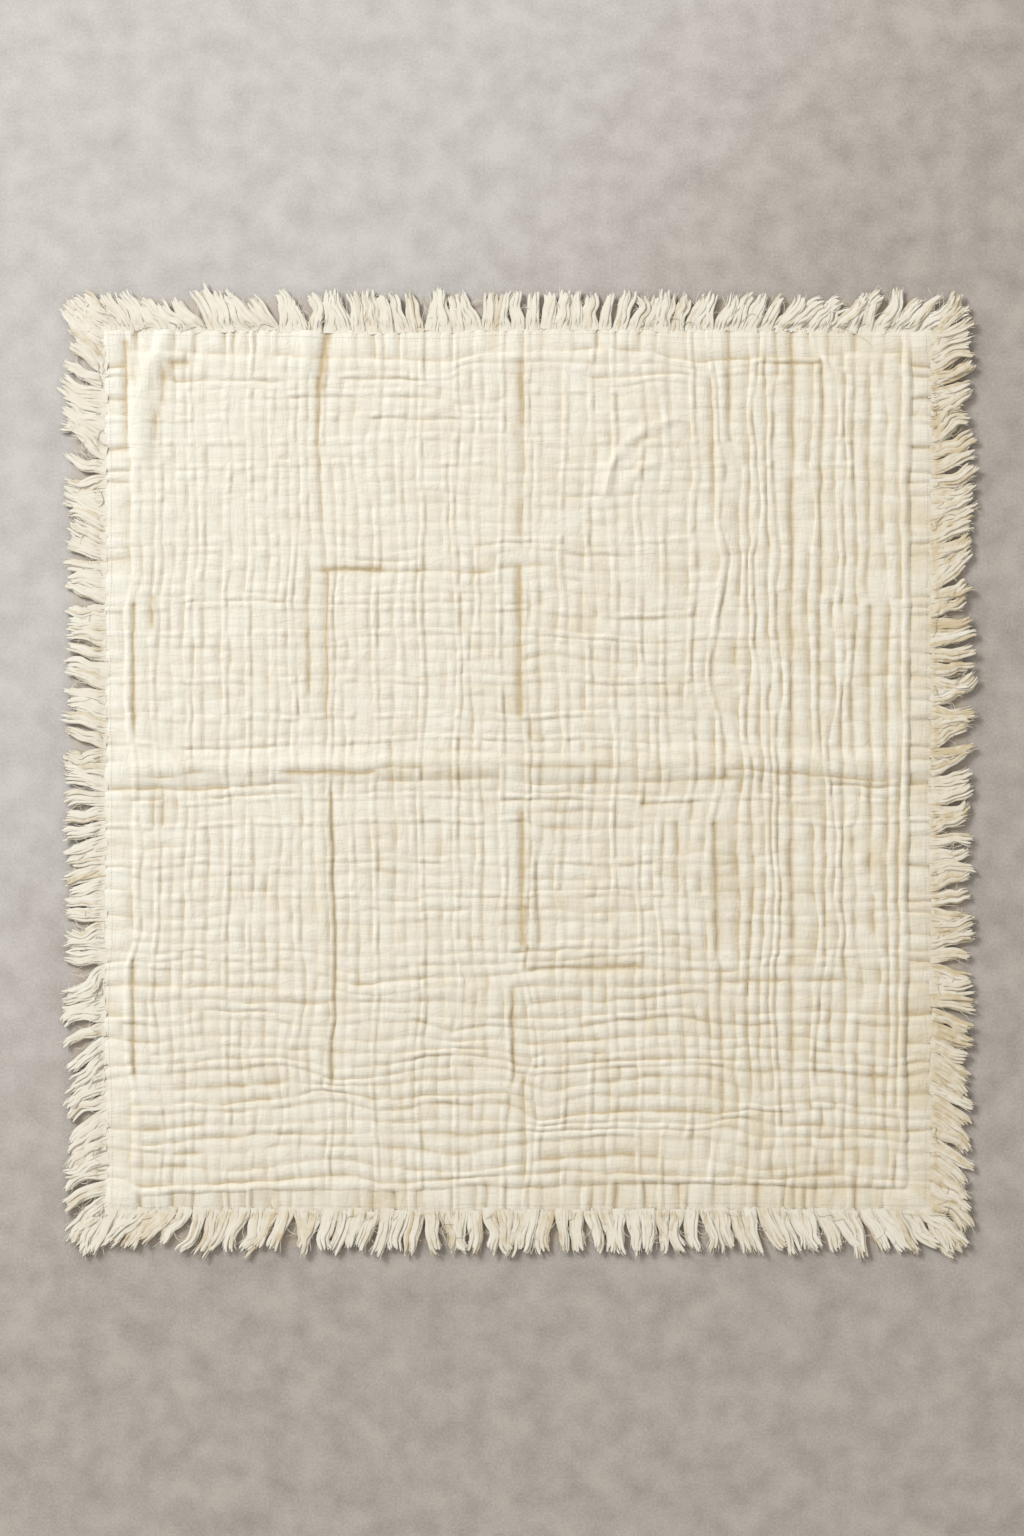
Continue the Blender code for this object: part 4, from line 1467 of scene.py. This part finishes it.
    def back(self, material: bpy.types.Material) -> bpy.types.Object:
        """Build the layer behind the face, which lies on the surface.

        Args:
            material: The gauze.

        Returns:
            The back.
        """
        plan = self.plan
        across, up = plan.width / 2 - self.back_margin, plan.length / 2 - self.back_margin
        columns = np.linspace(-across, across, self.back_grid[0])
        rows = np.linspace(up, -up, self.back_grid[1])
        x, y = np.meshgrid(columns, rows, indexing="ij")
        ripple = field_noise(self.rng, x, y, 0.012) * 0.35 * MM
        z = 0.12 * MM + ripple + plan.lift(x, y) * 0.92
        points = np.stack([x, y, z], axis=-1).reshape(-1, 3) + np.array(plan.shift)
        furrow = 0.3 * field_noise(self.rng, x, y, 0.008).reshape(-1)
        faces = grid_faces(len(columns), len(rows))[:, ::-1]
        return make_mesh("gauze_back", points, faces, {"furrow": furrow}, material)

    def rim_line(self, side: FringeSide, share: float) -> Array:
        """Points of the lying hem at a share of the way from a side's edge to its groove.

        Args:
            side: The side of the blanket.
            share: 0 on the edge, 1 in the groove.

        Returns:
            Points along the side, in the cloth's frame.
        """
        family = self.across if side.along[0] else self.down
        spot = int(np.argmin(np.abs(np.where(family.anchor == 0, family.share, 1.0) - share)))
        grids = (self.x, self.y, self.z)
        if side.along[0]:
            line = spot if side.outward[1] < 0 else -1 - spot
            return np.stack([grid[:, line] for grid in grids], axis=-1)
        line = spot if side.outward[0] < 0 else -1 - spot
        return np.stack([grid[line, :] for grid in grids], axis=-1)


@dataclass
class Fringe:
    """The fringe along one side: locks of loose yarn, each of a few strands.

    A strand is a soft body of fine yarns with some looser yarns over it. The strands leave the cloth
    side by side, come together in their lock, and end raggedly at its tip.
    """

    plan: BlanketPlan
    side: FringeSide
    chance: random.Random
    cloth: GauzeCloth
    strip_end: float = 0.0040
    strip_width: float = 0.0040
    lock_pitch: float = 0.0158
    lean_jitter: float = 2.0
    curl_jitter: float = 5.0
    shortest: float = 0.86
    strands: int = 6
    yarns: int = 3
    strays: int = 4
    rings: int = 12
    yarn_corners: tuple[float, ...] = (math.pi / 6, math.pi * 5 / 6, math.pi * 3 / 2)
    core_sides: int = 8
    core_width: float = 0.0024
    core_height: float = 0.0010
    yarn_radius: float = 0.00046
    body_width: float = 0.0150
    lock_wave: float = 0.0006
    bed_fill: float = 0.98
    strand_width: float = 0.0019
    strand_height: float = 0.0009
    lock_height: float = 0.0032
    layers: tuple[float, ...] = (0.35, 0.85, 0.5, 1.0, 0.6, 0.9)
    root_line: float = 0.10
    corners: tuple[tuple[float, float], ...] = ((0.0010, 66.0), (0.0040, 44.0))

    def lean_at(self, share: float) -> float:
        """Lean of the locks in degrees, read between the rows of the side's table."""
        shares, degrees = zip(*self.side.leans)
        return float(np.interp(share, shares, degrees))

    def locks(self) -> Table:
        """Place the locks with the same draws as the solids'.

        Returns:
            Each lock's distance along the side, its lean and curl in radians, and its length.
        """
        length = self.plan.side_length(self.side) - 2 * self.strip_end
        count = round(length / self.lock_pitch)
        pitch = length / count
        rows = []
        for k in range(count):
            lean = self.lean_at((k + 0.5) / count)
            lean += self.chance.uniform(-self.lean_jitter, self.lean_jitter)
            curl = self.chance.uniform(-self.curl_jitter, self.curl_jitter)
            reach = (self.side.reach - self.strip_width) * self.chance.uniform(self.shortest, 1.0)
            full = reach / math.cos(math.radians(lean)) ** 0.6 + self.strip_width
            rows.append(((k + 0.5) * pitch - length / 2, math.radians(lean), math.radians(curl), full))
        names = ("distance", "lean", "curl", "length")
        return dict(zip(names, np.array(rows).T))

    def fill_corners(self, locks: Table) -> None:
        """Add locks at each end of the side, which lean out over the corner.

        Args:
            locks: Named values, one for each lock, changed in place.
        """
        for inset, degrees in self.corners:
            end = self.plan.side_length(self.side) / 2 - inset
            lean = math.radians(degrees)
            extra = {"distance": (-end, end), "lean": (-lean, lean), "curl": (0.0, 0.0)}
            extra["length"] = (locks["length"][0], locks["length"][-1])
            for name, ends in extra.items():
                locks[name] = np.concatenate([[ends[0]], locks[name], [ends[1]]])

    def dress(self, locks: Table, rng: np.random.Generator) -> None:
        """Give the locks their looser differences: sway, bend, width and the gaps between groups.

        Args:
            locks: Named values, one for each lock, changed in place.
            rng: Seeded source of randomness.
        """
        count = len(locks["distance"])
        order = np.arange(count) * 1.0
        sway = line_noise(rng, 1, order, 2.6)[0] - 0.5
        locks["lean"] = locks["lean"] + 0.42 * sway + rng.normal(0, 0.085, count)
        locks["curl"] = locks["curl"] - 0.30 * sway + rng.normal(0, 0.22, count)
        locks["bend"] = rng.normal(0, 0.24, count)
        gather = (line_noise(rng, 1, order, 1.7)[0] - 0.5) * 10.0 * MM
        locks["gather"] = gather + rng.normal(0, 0.9, count) * MM
        locks["tan"] = self.side.tan + rng.normal(0.04, 0.12, count)
        locks["wide"] = rng.uniform(0.76, 1.26, count)
        locks["taper"] = rng.uniform(-0.15, 0.45, count)
        locks["length"] = locks["length"] * rng.uniform(0.95, 1.04, count)
        locks["tall"] = rng.uniform(0.75, 1.3, count)
        locks["wave"] = rng.uniform(0.3, 1.5, count) * self.lock_wave
        locks["wave_length"] = rng.uniform(0.016, 0.030, count)
        locks["wave_phase"] = rng.uniform(0, TURN, count)

    def yarn_table(self, locks: Table, rng: np.random.Generator) -> Table:
        """Give each yarn its lock, its strand and its own differences.

        Args:
            locks: Named values, one for each lock.
            rng: Seeded source of randomness.

        Returns:
            Named values, one for each yarn; strays come last in each lock.
        """
        number = len(locks["distance"])
        gathered = self.strands * self.yarns
        per_lock = gathered + self.strays
        lock = np.repeat(np.arange(number), per_lock)
        place = np.tile(np.arange(per_lock), number)
        stray = place >= gathered
        size, total = len(place), number * self.strands
        strand = np.where(stray, rng.integers(0, self.strands, size), place // self.yarns)
        across = (np.tile(np.arange(self.strands), number) + 0.5) / self.strands * 2 - 1
        layer = np.tile(np.array(self.layers), number) + rng.uniform(-0.2, 0.2, total)
        angle = math.pi * (1.2 * (place % self.yarns) / (self.yarns - 1) - 0.1)
        own = {
            "stray": stray * 1.0,
            "first": (place % self.yarns == 0) & ~stray,
            "root_drop": np.full(size, 0.0006),
            "bed": np.zeros(size),
            "angle": angle + rng.normal(0, 0.2, size),
            "inside": rng.uniform(0.55, 1.05, size),
        }
        strands = {
            "across": across + rng.normal(0, 0.10, total),
            "layer": np.clip(layer, 0, 1.1),
            "strand_wave": rng.uniform(0.05, 0.45, total) * MM,
            "strand_length": rng.uniform(0.018, 0.036, total),
            "strand_phase": rng.uniform(0, TURN, total),
            "strand_lean": rng.normal(0, 0.06, total),
            "strand_share": rng.uniform(0.86, 1.03, total),
            "twist": rng.uniform(-0.9, 0.9, total),
            "strand_size": rng.uniform(0.7, 1.3, total),
            "strand_tan": 0.75 * rng.random(total) ** 3 - 0.12,
        }
        own["root_depth"] = rng.uniform(0.0020, 0.0065, size)
        own["share"] = np.where(stray, rng.uniform(0.5, 1.0, size), rng.uniform(0.86, 1.04, size))
        own["loose"] = np.where(stray, rng.normal(0, 0.45, size), rng.normal(0, 0.025, size))
        own["hook"] = np.where(stray, rng.normal(0, 1.1, size), rng.normal(0, 0.10, size))
        own["crimp"] = rng.uniform(0.08, 0.34, size) * MM
        own["crimp_length"] = rng.uniform(0.006, 0.012, size)
        own["phase"] = rng.uniform(0, TURN, size)
        own["pale"] = rng.random(size)
        of_lock = {name: values[lock] for name, values in locks.items()}
        of_strand = {name: values[lock * self.strands + strand] for name, values in strands.items()}
        return {**of_lock, **of_strand, **own}

    def cores(self, table: Table) -> Table:
        """Take the strands' soft bodies, and a flat bed for each lock, out of the yarns' table.

        Args:
            table: Named values, one for each yarn.

        Returns:
            Named values, one for each body; the beds come last.
        """
        strands = np.flatnonzero(table["first"])
        beds = strands[:: self.strands]
        chosen = np.concatenate([strands, beds])
        is_bed = np.arange(len(chosen)) >= len(strands)
        cores = {name: values[chosen] for name, values in table.items()}
        for name in ("inside", "crimp", "loose", "hook"):
            cores[name] = np.zeros(len(chosen))
        for name in ("across", "strand_lean", "strand_wave", "layer", "strand_tan"):
            cores[name] = np.where(is_bed, 0.0, cores[name])
        cores["share"] = np.where(is_bed, 0.90, 0.96)
        cores["root_drop"] = np.where(is_bed, 0.0018, 0.0012)
        cores["strand_share"] = np.where(is_bed, 0.93, cores["strand_share"])
        cores["bed"] = is_bed * 1.0
        return cores

    def hem_height(self, distance: Array) -> Array:
        """Height of the hem's top near its edge.

        Args:
            distance: Distances along the side from its middle.

        Returns:
            The height at each of them.
        """
        line = self.cloth.rim_line(self.side, self.root_line)
        return np.interp(distance, line @ np.array([*self.side.along, 0.0]), line[:, 2])

    def paths(self, table: Table, thickest: float) -> Array:
        """Lay every yarn from the cloth's edge to its tip.

        Args:
            table: Named values, one for each yarn.
            thickest: Half the height of the thickest one.

        Returns:
            Points of shape yarns, rings, 3, in the cloth's frame.
        """
        col = {name: values[:, None] for name, values in table.items()}
        t = col["t"] = np.linspace(0, 1, self.rings)[None]
        length = col["length"] * col["strand_share"] * col["share"]
        run = t * length
        col["come"] = smooth(0.02, 0.50, t)
        col["turn"] = col["angle"] + col["twist"] * t
        col["strand_swing"] = TURN * run / col["strand_length"] + col["strand_phase"]
        col["lock_swing"] = TURN * run / col["wave_length"] + col["wave_phase"]
        col["crimp_swing"] = TURN * run / col["crimp_length"] + col["phase"]
        heading = self.headings(col)
        tilt = np.clip(heading, -0.9, 0.9)
        side_way = self.side_way(col)
        step = length / (self.rings - 1)
        middle = 0.5 * (heading[:, 1:] + heading[:, :-1])
        zero = np.zeros((len(step), 1))
        go_along = np.hstack([zero, np.cumsum(step * np.sin(middle), axis=1)])
        go_along = go_along + side_way * np.cos(tilt * smooth(0.0, 0.3, t)) + col["distance"]
        go_out = np.hstack([zero, np.cumsum(step * np.cos(middle), axis=1)])
        edge = self.plan.edge(self.side, table["distance"])[:, None]
        go_out = go_out - side_way * np.sin(tilt) * col["come"] + edge - col["root_depth"] * (1 - t) ** 4
        height = self.lying_heights(col, self.hem_height(go_along[:, 0])[:, None], thickest)
        directions = ([*self.side.along, 0.0], [*self.side.outward, 0.0], [0.0, 0.0, 1.0])
        parts = zip((go_along, go_out, height), directions)
        return sum(part[..., None] * np.array(direction) for part, direction in parts)

    def headings(self, col: Table) -> Array:
        """Heading of each yarn at its rings: straight out, then with its lock's lean, bend and curl.

        Args:
            col: Named values, one row a yarn; "t" is the share of its length at each ring.

        Returns:
            The headings in radians from straight out, one row a yarn.
        """
        t = col["t"]
        lean = col["lean"] + col["strand_lean"] + col["loose"]
        bend = col["bend"] * (smooth(0.08, 0.40, t) - 1.6 * smooth(0.42, 0.80, t))
        curl = (col["curl"] + col["hook"]) * smooth(0.45, 1.0, t)
        return lean * smooth(-0.02, 0.14, t) + bend + curl

    def side_way(self, col: Table) -> Array:
        """How far each yarn lies beside its lock's middle line, at its rings.

        Args:
            col: Named values, one row a yarn.

        Returns:
            The distances, one row a yarn.
        """
        t, come = col["t"], col["come"]
        body = self.body_width * col["wide"] * (1 - col["taper"] * smooth(0.5, 1.0, t)) * 0.5
        root = 0.5 * self.lock_pitch
        away = col["across"] * (root * (1 - come) + body * 0.80 * come) + col["gather"] * come
        away = away + col["strand_wave"] * np.sin(col["strand_swing"]) * smooth(0.0, 0.2, t)
        away = away + col["wave"] * np.sin(col["lock_swing"]) * smooth(0.05, 0.3, t)
        bundle = 1.25 - 0.25 * come + 0.45 * smooth(0.78, 1.0, t)
        away = away + self.strand_width * bundle * col["inside"] * np.cos(col["turn"])
        return away + col["crimp"] * np.sin(col["crimp_swing"]) * smooth(0.0, 0.1, t)

    def lying_heights(self, col: Table, start: Array, thickest: float) -> Array:
        """Height of each yarn at its rings, from the hem down to where its lock lies.

        Args:
            col: Named values, one row a yarn.
            start: Height of the hem's top where each yarn leaves it.
            thickest: Half the height of the thickest yarn.

        Returns:
            The heights, one row a yarn.
        """
        t = col["t"]
        lowest = thickest + 0.05 * MM
        thick = self.strand_height * (0.55 + 0.45 * col["come"]) * col["inside"]
        body_height = self.lock_height * self.side.loft * col["tall"] * (0.68 + 0.32 * col["layer"])
        body_height = body_height * (1 + 0.35 * smooth(0.45, 1.0, t)) * (1 - 0.42 * col["across"] ** 2)
        body_height = body_height + self.strand_height * 0.8 - 0.6 * MM * col["bed"]
        lying = lowest + body_height + thick * np.sin(col["turn"])
        start = start - col["root_drop"] * (1 - 0.75 * smooth(0.0, 0.09, t))
        start = start + 0.15 * MM * np.sin(col["angle"]) * col["inside"]
        blend = smooth(0.05, 0.30, t)
        height = start * (1 - blend) + lying * blend
        height = height + 0.25 * MM * np.cos(0.8 * col["strand_swing"]) * blend
        height = height + 0.10 * MM * np.cos(1.3 * col["crimp_swing"])
        height = height + 0.7 * col["wave"] * np.cos(col["lock_swing"]) * blend
        return np.maximum(height, lowest)

    def tubes(self, paths: Array, wide: Array, high: Array,
              angles: Iterable[float]) -> Array:
        """Put a thin tube round each path.

        Args:
            paths: Points of shape yarns, rings, 3.
            wide: Half the tube's width at each of those points.
            high: Half its height there.
            angles: Where the corners of its section lie.

        Returns:
            The tubes' points, of shape yarns, rings, corners, 3.
        """
        tangent = np.gradient(paths, axis=1)
        tangent /= np.linalg.norm(tangent, axis=2, keepdims=True)
        sideways = np.cross(tangent, np.array([0.0, 0.0, 1.0]))
        sideways /= np.linalg.norm(sideways, axis=2, keepdims=True)
        upward = np.cross(sideways, tangent)
        wide, high = wide[..., None], high[..., None]
        rings = [paths + wide * math.cos(a) * sideways + high * math.sin(a) * upward for a in angles]
        return np.stack(rings, axis=2)

    def yarn_sizes(self, table: Table, rng: np.random.Generator) -> Array:
        """Radius of each yarn at its rings: thin at the cloth, and tapered at its end.

        Args:
            table: Named values, one for each yarn.
            rng: Seeded source of randomness.

        Returns:
            The radii, one row a yarn.
        """
        t = np.linspace(0, 1, self.rings)[None]
        stray = table["stray"][:, None]
        thick = rng.uniform(0.8, 1.2, len(stray))[:, None] * (1 - 0.3 * stray)
        taper = 1 - 0.5 * smooth(0.93, 1.0, t)
        return self.yarn_radius * thick * taper * (0.4 + 0.6 * smooth(0.0, 0.08, t))

    def core_sizes(self, cores: Table) -> tuple[Array, Array]:
        """Half the width and half the height of the soft bodies and of the beds, at their rings.

        Args:
            cores: Named values, one for each body.

        Returns:
            The half widths and the half heights, one row a body.
        """
        t = np.linspace(0, 1, self.rings)[None]
        come = smooth(0.04, 0.50, t)
        body = cores["strand_size"][:, None] * (0.6 + 0.4 * smooth(0.0, 0.35, t))
        body = body * (1 - 0.35 * smooth(0.55, 1.0, t)) * (1 - 0.5 * smooth(0.95, 1.0, t))
        bed = self.body_width * self.bed_fill * cores["wide"][:, None]
        bed = bed * (1 - cores["taper"][:, None] * smooth(0.5, 1.0, t)) * (1 - 0.4 * smooth(0.8, 1.0, t))
        bed = 0.5 * (1.06 * self.lock_pitch * (1 - come) + bed * come)
        wide = np.where(cores["bed"][:, None] > 0, bed, self.core_width * body)
        return wide, self.core_height * np.sqrt(body)

    def colours(self, points: Array, table: Table) -> Table:
        """Work out what the yarn's finish reads at each point.

        Args:
            points: Points of shape yarns, rings, corners, 3.
            table: Named values, one for each yarn.

        Returns:
            Named values, one for each point.
        """
        shape = points.shape[:3]
        t = np.linspace(0, 1, self.rings)[None, :, None]
        # painted shade: darker and warmer where the yarn lies low, away from the cloth
        low = 1 - np.clip((points[..., 2] - 1.0 * MM) / (3.4 * MM), 0, 1)
        start = np.clip(1 - t / 0.2, 0, 1)
        tan = (table["tan"] + table["strand_tan"])[:, None, None]
        # the beds under the strands carry painted shade into the gaps between them
        tan = tan + table["bed"][:, None, None] * (0.45 * smooth(0.08, 0.40, t) - 0.15)
        values = {
            # random pale yarns, paler towards the tips with painted light, as the roots lie in shade
            "pale": table["pale"][:, None, None] * (0.35 + 0.65 * t),
            "root": np.clip(0.6 * low * (1 - start) + tan, 0, 1),
            "around": np.arange(shape[2])[None, None] / shape[2],
            "run": t * table["length"][:, None, None],
            "strand": table["phase"][:, None, None],
        }
        return {name: np.broadcast_to(value, shape).reshape(-1) for name, value in values.items()}

    def build(self, material: bpy.types.Material, seed: int) -> bpy.types.Object:
        """Build the side's yarns as one piece.

        Args:
            material: The yarn's finish.
            seed: Seed of the yarns' chance differences.

        Returns:
            The fringe.
        """
        rng = np.random.default_rng(seed)
        locks = self.locks()
        self.fill_corners(locks)
        self.dress(locks, rng)
        table = self.yarn_table(locks, rng)
        cores = self.cores(table)
        radius = self.yarn_sizes(table, rng)
        wide, high = self.core_sizes(cores)
        yarns = self.tubes(self.paths(table, radius.max()), radius, radius, self.yarn_corners)
        corners = TURN * (np.arange(self.core_sides) + 0.5) / self.core_sides
        bodies = self.tubes(self.paths(cores, high.max()), wide, high, corners)
        points = np.concatenate([yarns.reshape(-1, 3), bodies.reshape(-1, 3)]) + np.array(self.plan.shift)
        faces = np.concatenate([tube_faces(yarns, 0), tube_faces(bodies, yarns[..., 0].size)])
        over, under = self.colours(yarns, table), self.colours(bodies, cores)
        colours = {key: np.concatenate([over[key], under[key]]) for key in over}
        return make_mesh(self.side.node.replace("fringe", "yarns"), points, faces, colours, material)


@dataclass
class HemStitching:
    """A row of small stitches just inside each edge."""

    plan: BlanketPlan
    share: float = 0.28
    stitch: float = 0.0026
    gap: float = 0.0009
    radius: float = 0.00022
    sink: float = 0.00006
    rings: int = 5
    sides: int = 5

    def build(self, cloth: GauzeCloth, material: bpy.types.Material) -> bpy.types.Object:
        """Build all stitches as one piece.

        Args:
            cloth: The cloth that they hold.
            material: The thread's finish.

        Returns:
            The stitches.
        """
        points: list[Array] = []
        faces: list[Array] = []
        margin = self.plan.hem * 0.25
        for side in SIDES:
            line = cloth.rim_line(side, self.share)
            length = np.concatenate([[0], np.cumsum(np.linalg.norm(np.diff(line, axis=0), axis=1))])
            starts = np.arange(margin, length[-1] - margin, self.stitch + self.gap)
            along = starts[:, None] + np.linspace(0, self.stitch, self.rings)[None]
            spots = np.stack([np.interp(along, length, line[:, k]) for k in range(3)], axis=-1)
            arch = np.sin(np.linspace(0, math.pi, self.rings))[None]
            spots[..., 2] += self.radius * 1.2 * arch - self.sink
            thick = self.radius * (0.45 + 0.55 * arch) * np.ones((len(starts), 1))
            self.add_tubes(points, faces, spots, thick)
        shifted = np.concatenate(points) + np.array(self.plan.shift)
        colours = {"pale": np.full(len(shifted), 0.6), "root": np.full(len(shifted), 0.1)}
        return make_mesh("hem_stitches", shifted, np.concatenate(faces), colours, material)

    def add_tubes(self, points: list[Array], faces: list[Array], spots: Array,
                  thick: Array) -> None:
        """Add a small tube for each stitch of one side.

        Args:
            points: Lists of points so far.
            faces: Lists of faces so far.
            spots: Centre line of each stitch.
            thick: Radius along each stitch.
        """
        tangent = spots[:, -1] - spots[:, 0]
        tangent /= np.linalg.norm(tangent, axis=1, keepdims=True)
        sideways = np.cross(tangent, np.array([0.0, 0.0, 1.0]))[:, None]
        upward = np.array([0.0, 0.0, 1.0])
        rings = []
        for k in range(self.sides):
            angle = TURN * k / self.sides
            outward = math.cos(angle) * sideways + math.sin(angle) * upward
            rings.append(spots + thick[..., None] * outward)
        block = np.stack(rings, axis=2)
        faces.append(tube_faces(block, sum(len(stitched) for stitched in points)))
        points.append(block.reshape(-1, 3))


@dataclass
class PhotoView:
    """Camera straight above the blanket, which frames it as the photograph does."""

    height: float = 3.4
    sensor: float = 36.0

    def build(self) -> None:
        """Make the scene's camera."""
        data = bpy.data.cameras.new("photo_camera")
        data.sensor_fit = "AUTO"
        data.sensor_width = self.sensor
        data.lens = self.sensor * self.height / (PHOTO_HEIGHT_PX * PIXEL)
        camera = bpy.data.objects.new("photo_camera", data)
        off_x = (PHOTO_WIDTH_PX / 2 - BLANKET_MIDDLE_PX[0]) * PIXEL
        off_y = (BLANKET_MIDDLE_PX[1] - PHOTO_HEIGHT_PX / 2) * PIXEL
        camera.location = (off_x, off_y, self.height)
        bpy.context.scene.collection.objects.link(camera)
        bpy.context.scene.camera = camera


@dataclass
class Studio:
    """Plain pale surface and soft light from the upper left."""

    key_place: tuple[float, float, float] = (-5.6, 5.4, 4.85)
    key_size: float = 3.4
    key_power: float = 715.0
    fill: float = 0.545
    surface_size: float = 7.0
    surface_drop: float = 0.0002

    def light(self) -> None:
        """Add the key light and the even fill."""
        data = bpy.data.lights.new("key_light", "AREA")
        data.shape = "DISK"
        data.size = self.key_size
        data.energy = self.key_power
        data.color = (0.995, 1.0, 1.0)
        key = bpy.data.objects.new("key_light", data)
        key.location = self.key_place
        key.rotation_euler = (-Vector(self.key_place)).to_track_quat("-Z", "Y").to_euler()
        bpy.context.scene.collection.objects.link(key)
        world = bpy.data.worlds.new("soft_fill")
        world.use_nodes = True
        background = world.node_tree.nodes["Background"]
        background.inputs["Color"].default_value = (1.0, 0.95, 0.875, 1)
        background.inputs["Strength"].default_value = self.fill
        bpy.context.scene.world = world

    def surface(self) -> None:
        """Add the surface that the blanket lies on."""
        half = self.surface_size / 2
        corners = np.array([(-half, -half), (half, -half), (half, half), (-half, half)])
        points = np.column_stack([corners, np.full(4, -self.surface_drop)])
        make_mesh("surface", points, np.array([[0, 1, 2, 3]]), {}, FloorFinish().material())


def attach(piece: bpy.types.Object, slot: str, *nodes: str) -> None:
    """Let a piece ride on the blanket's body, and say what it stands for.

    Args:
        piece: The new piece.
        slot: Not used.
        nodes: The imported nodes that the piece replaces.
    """
    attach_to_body(piece, "root")
    if nodes:
        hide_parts(*nodes)
    stands_for = ", ".join(nodes) or "no node"
    LOG.info("%s: %d faces, stands for %s", piece.name, len(piece.data.polygons), stands_for)


def main() -> None:
    """Build the blanket, its light and its camera, in order."""
    bpy.context.scene.view_settings.view_transform = "Standard"
    PhotoView().build()
    studio = Studio()
    studio.light()
    studio.surface()
    plan = BlanketPlan()
    gauze = GauzeFinish().material()
    yarn = YarnFinish().material()
    cloth = GauzeCloth(plan)
    cloth.shape()
    face = cloth.face(gauze)
    attach(face, "gauze", "cloth")
    back = cloth.back(gauze)
    attach(back, "gauze")
    chance = random.Random(31)
    for number, side in enumerate(SIDES):
        piece = Fringe(plan, side, chance, cloth).build(yarn, 100 + number)
        attach(piece, "fringe_yarn", side.node)
    stitches = HemStitching(plan).build(cloth, yarn)
    attach(stitches, "fringe_yarn")


if __name__ == "__main__":
    main()
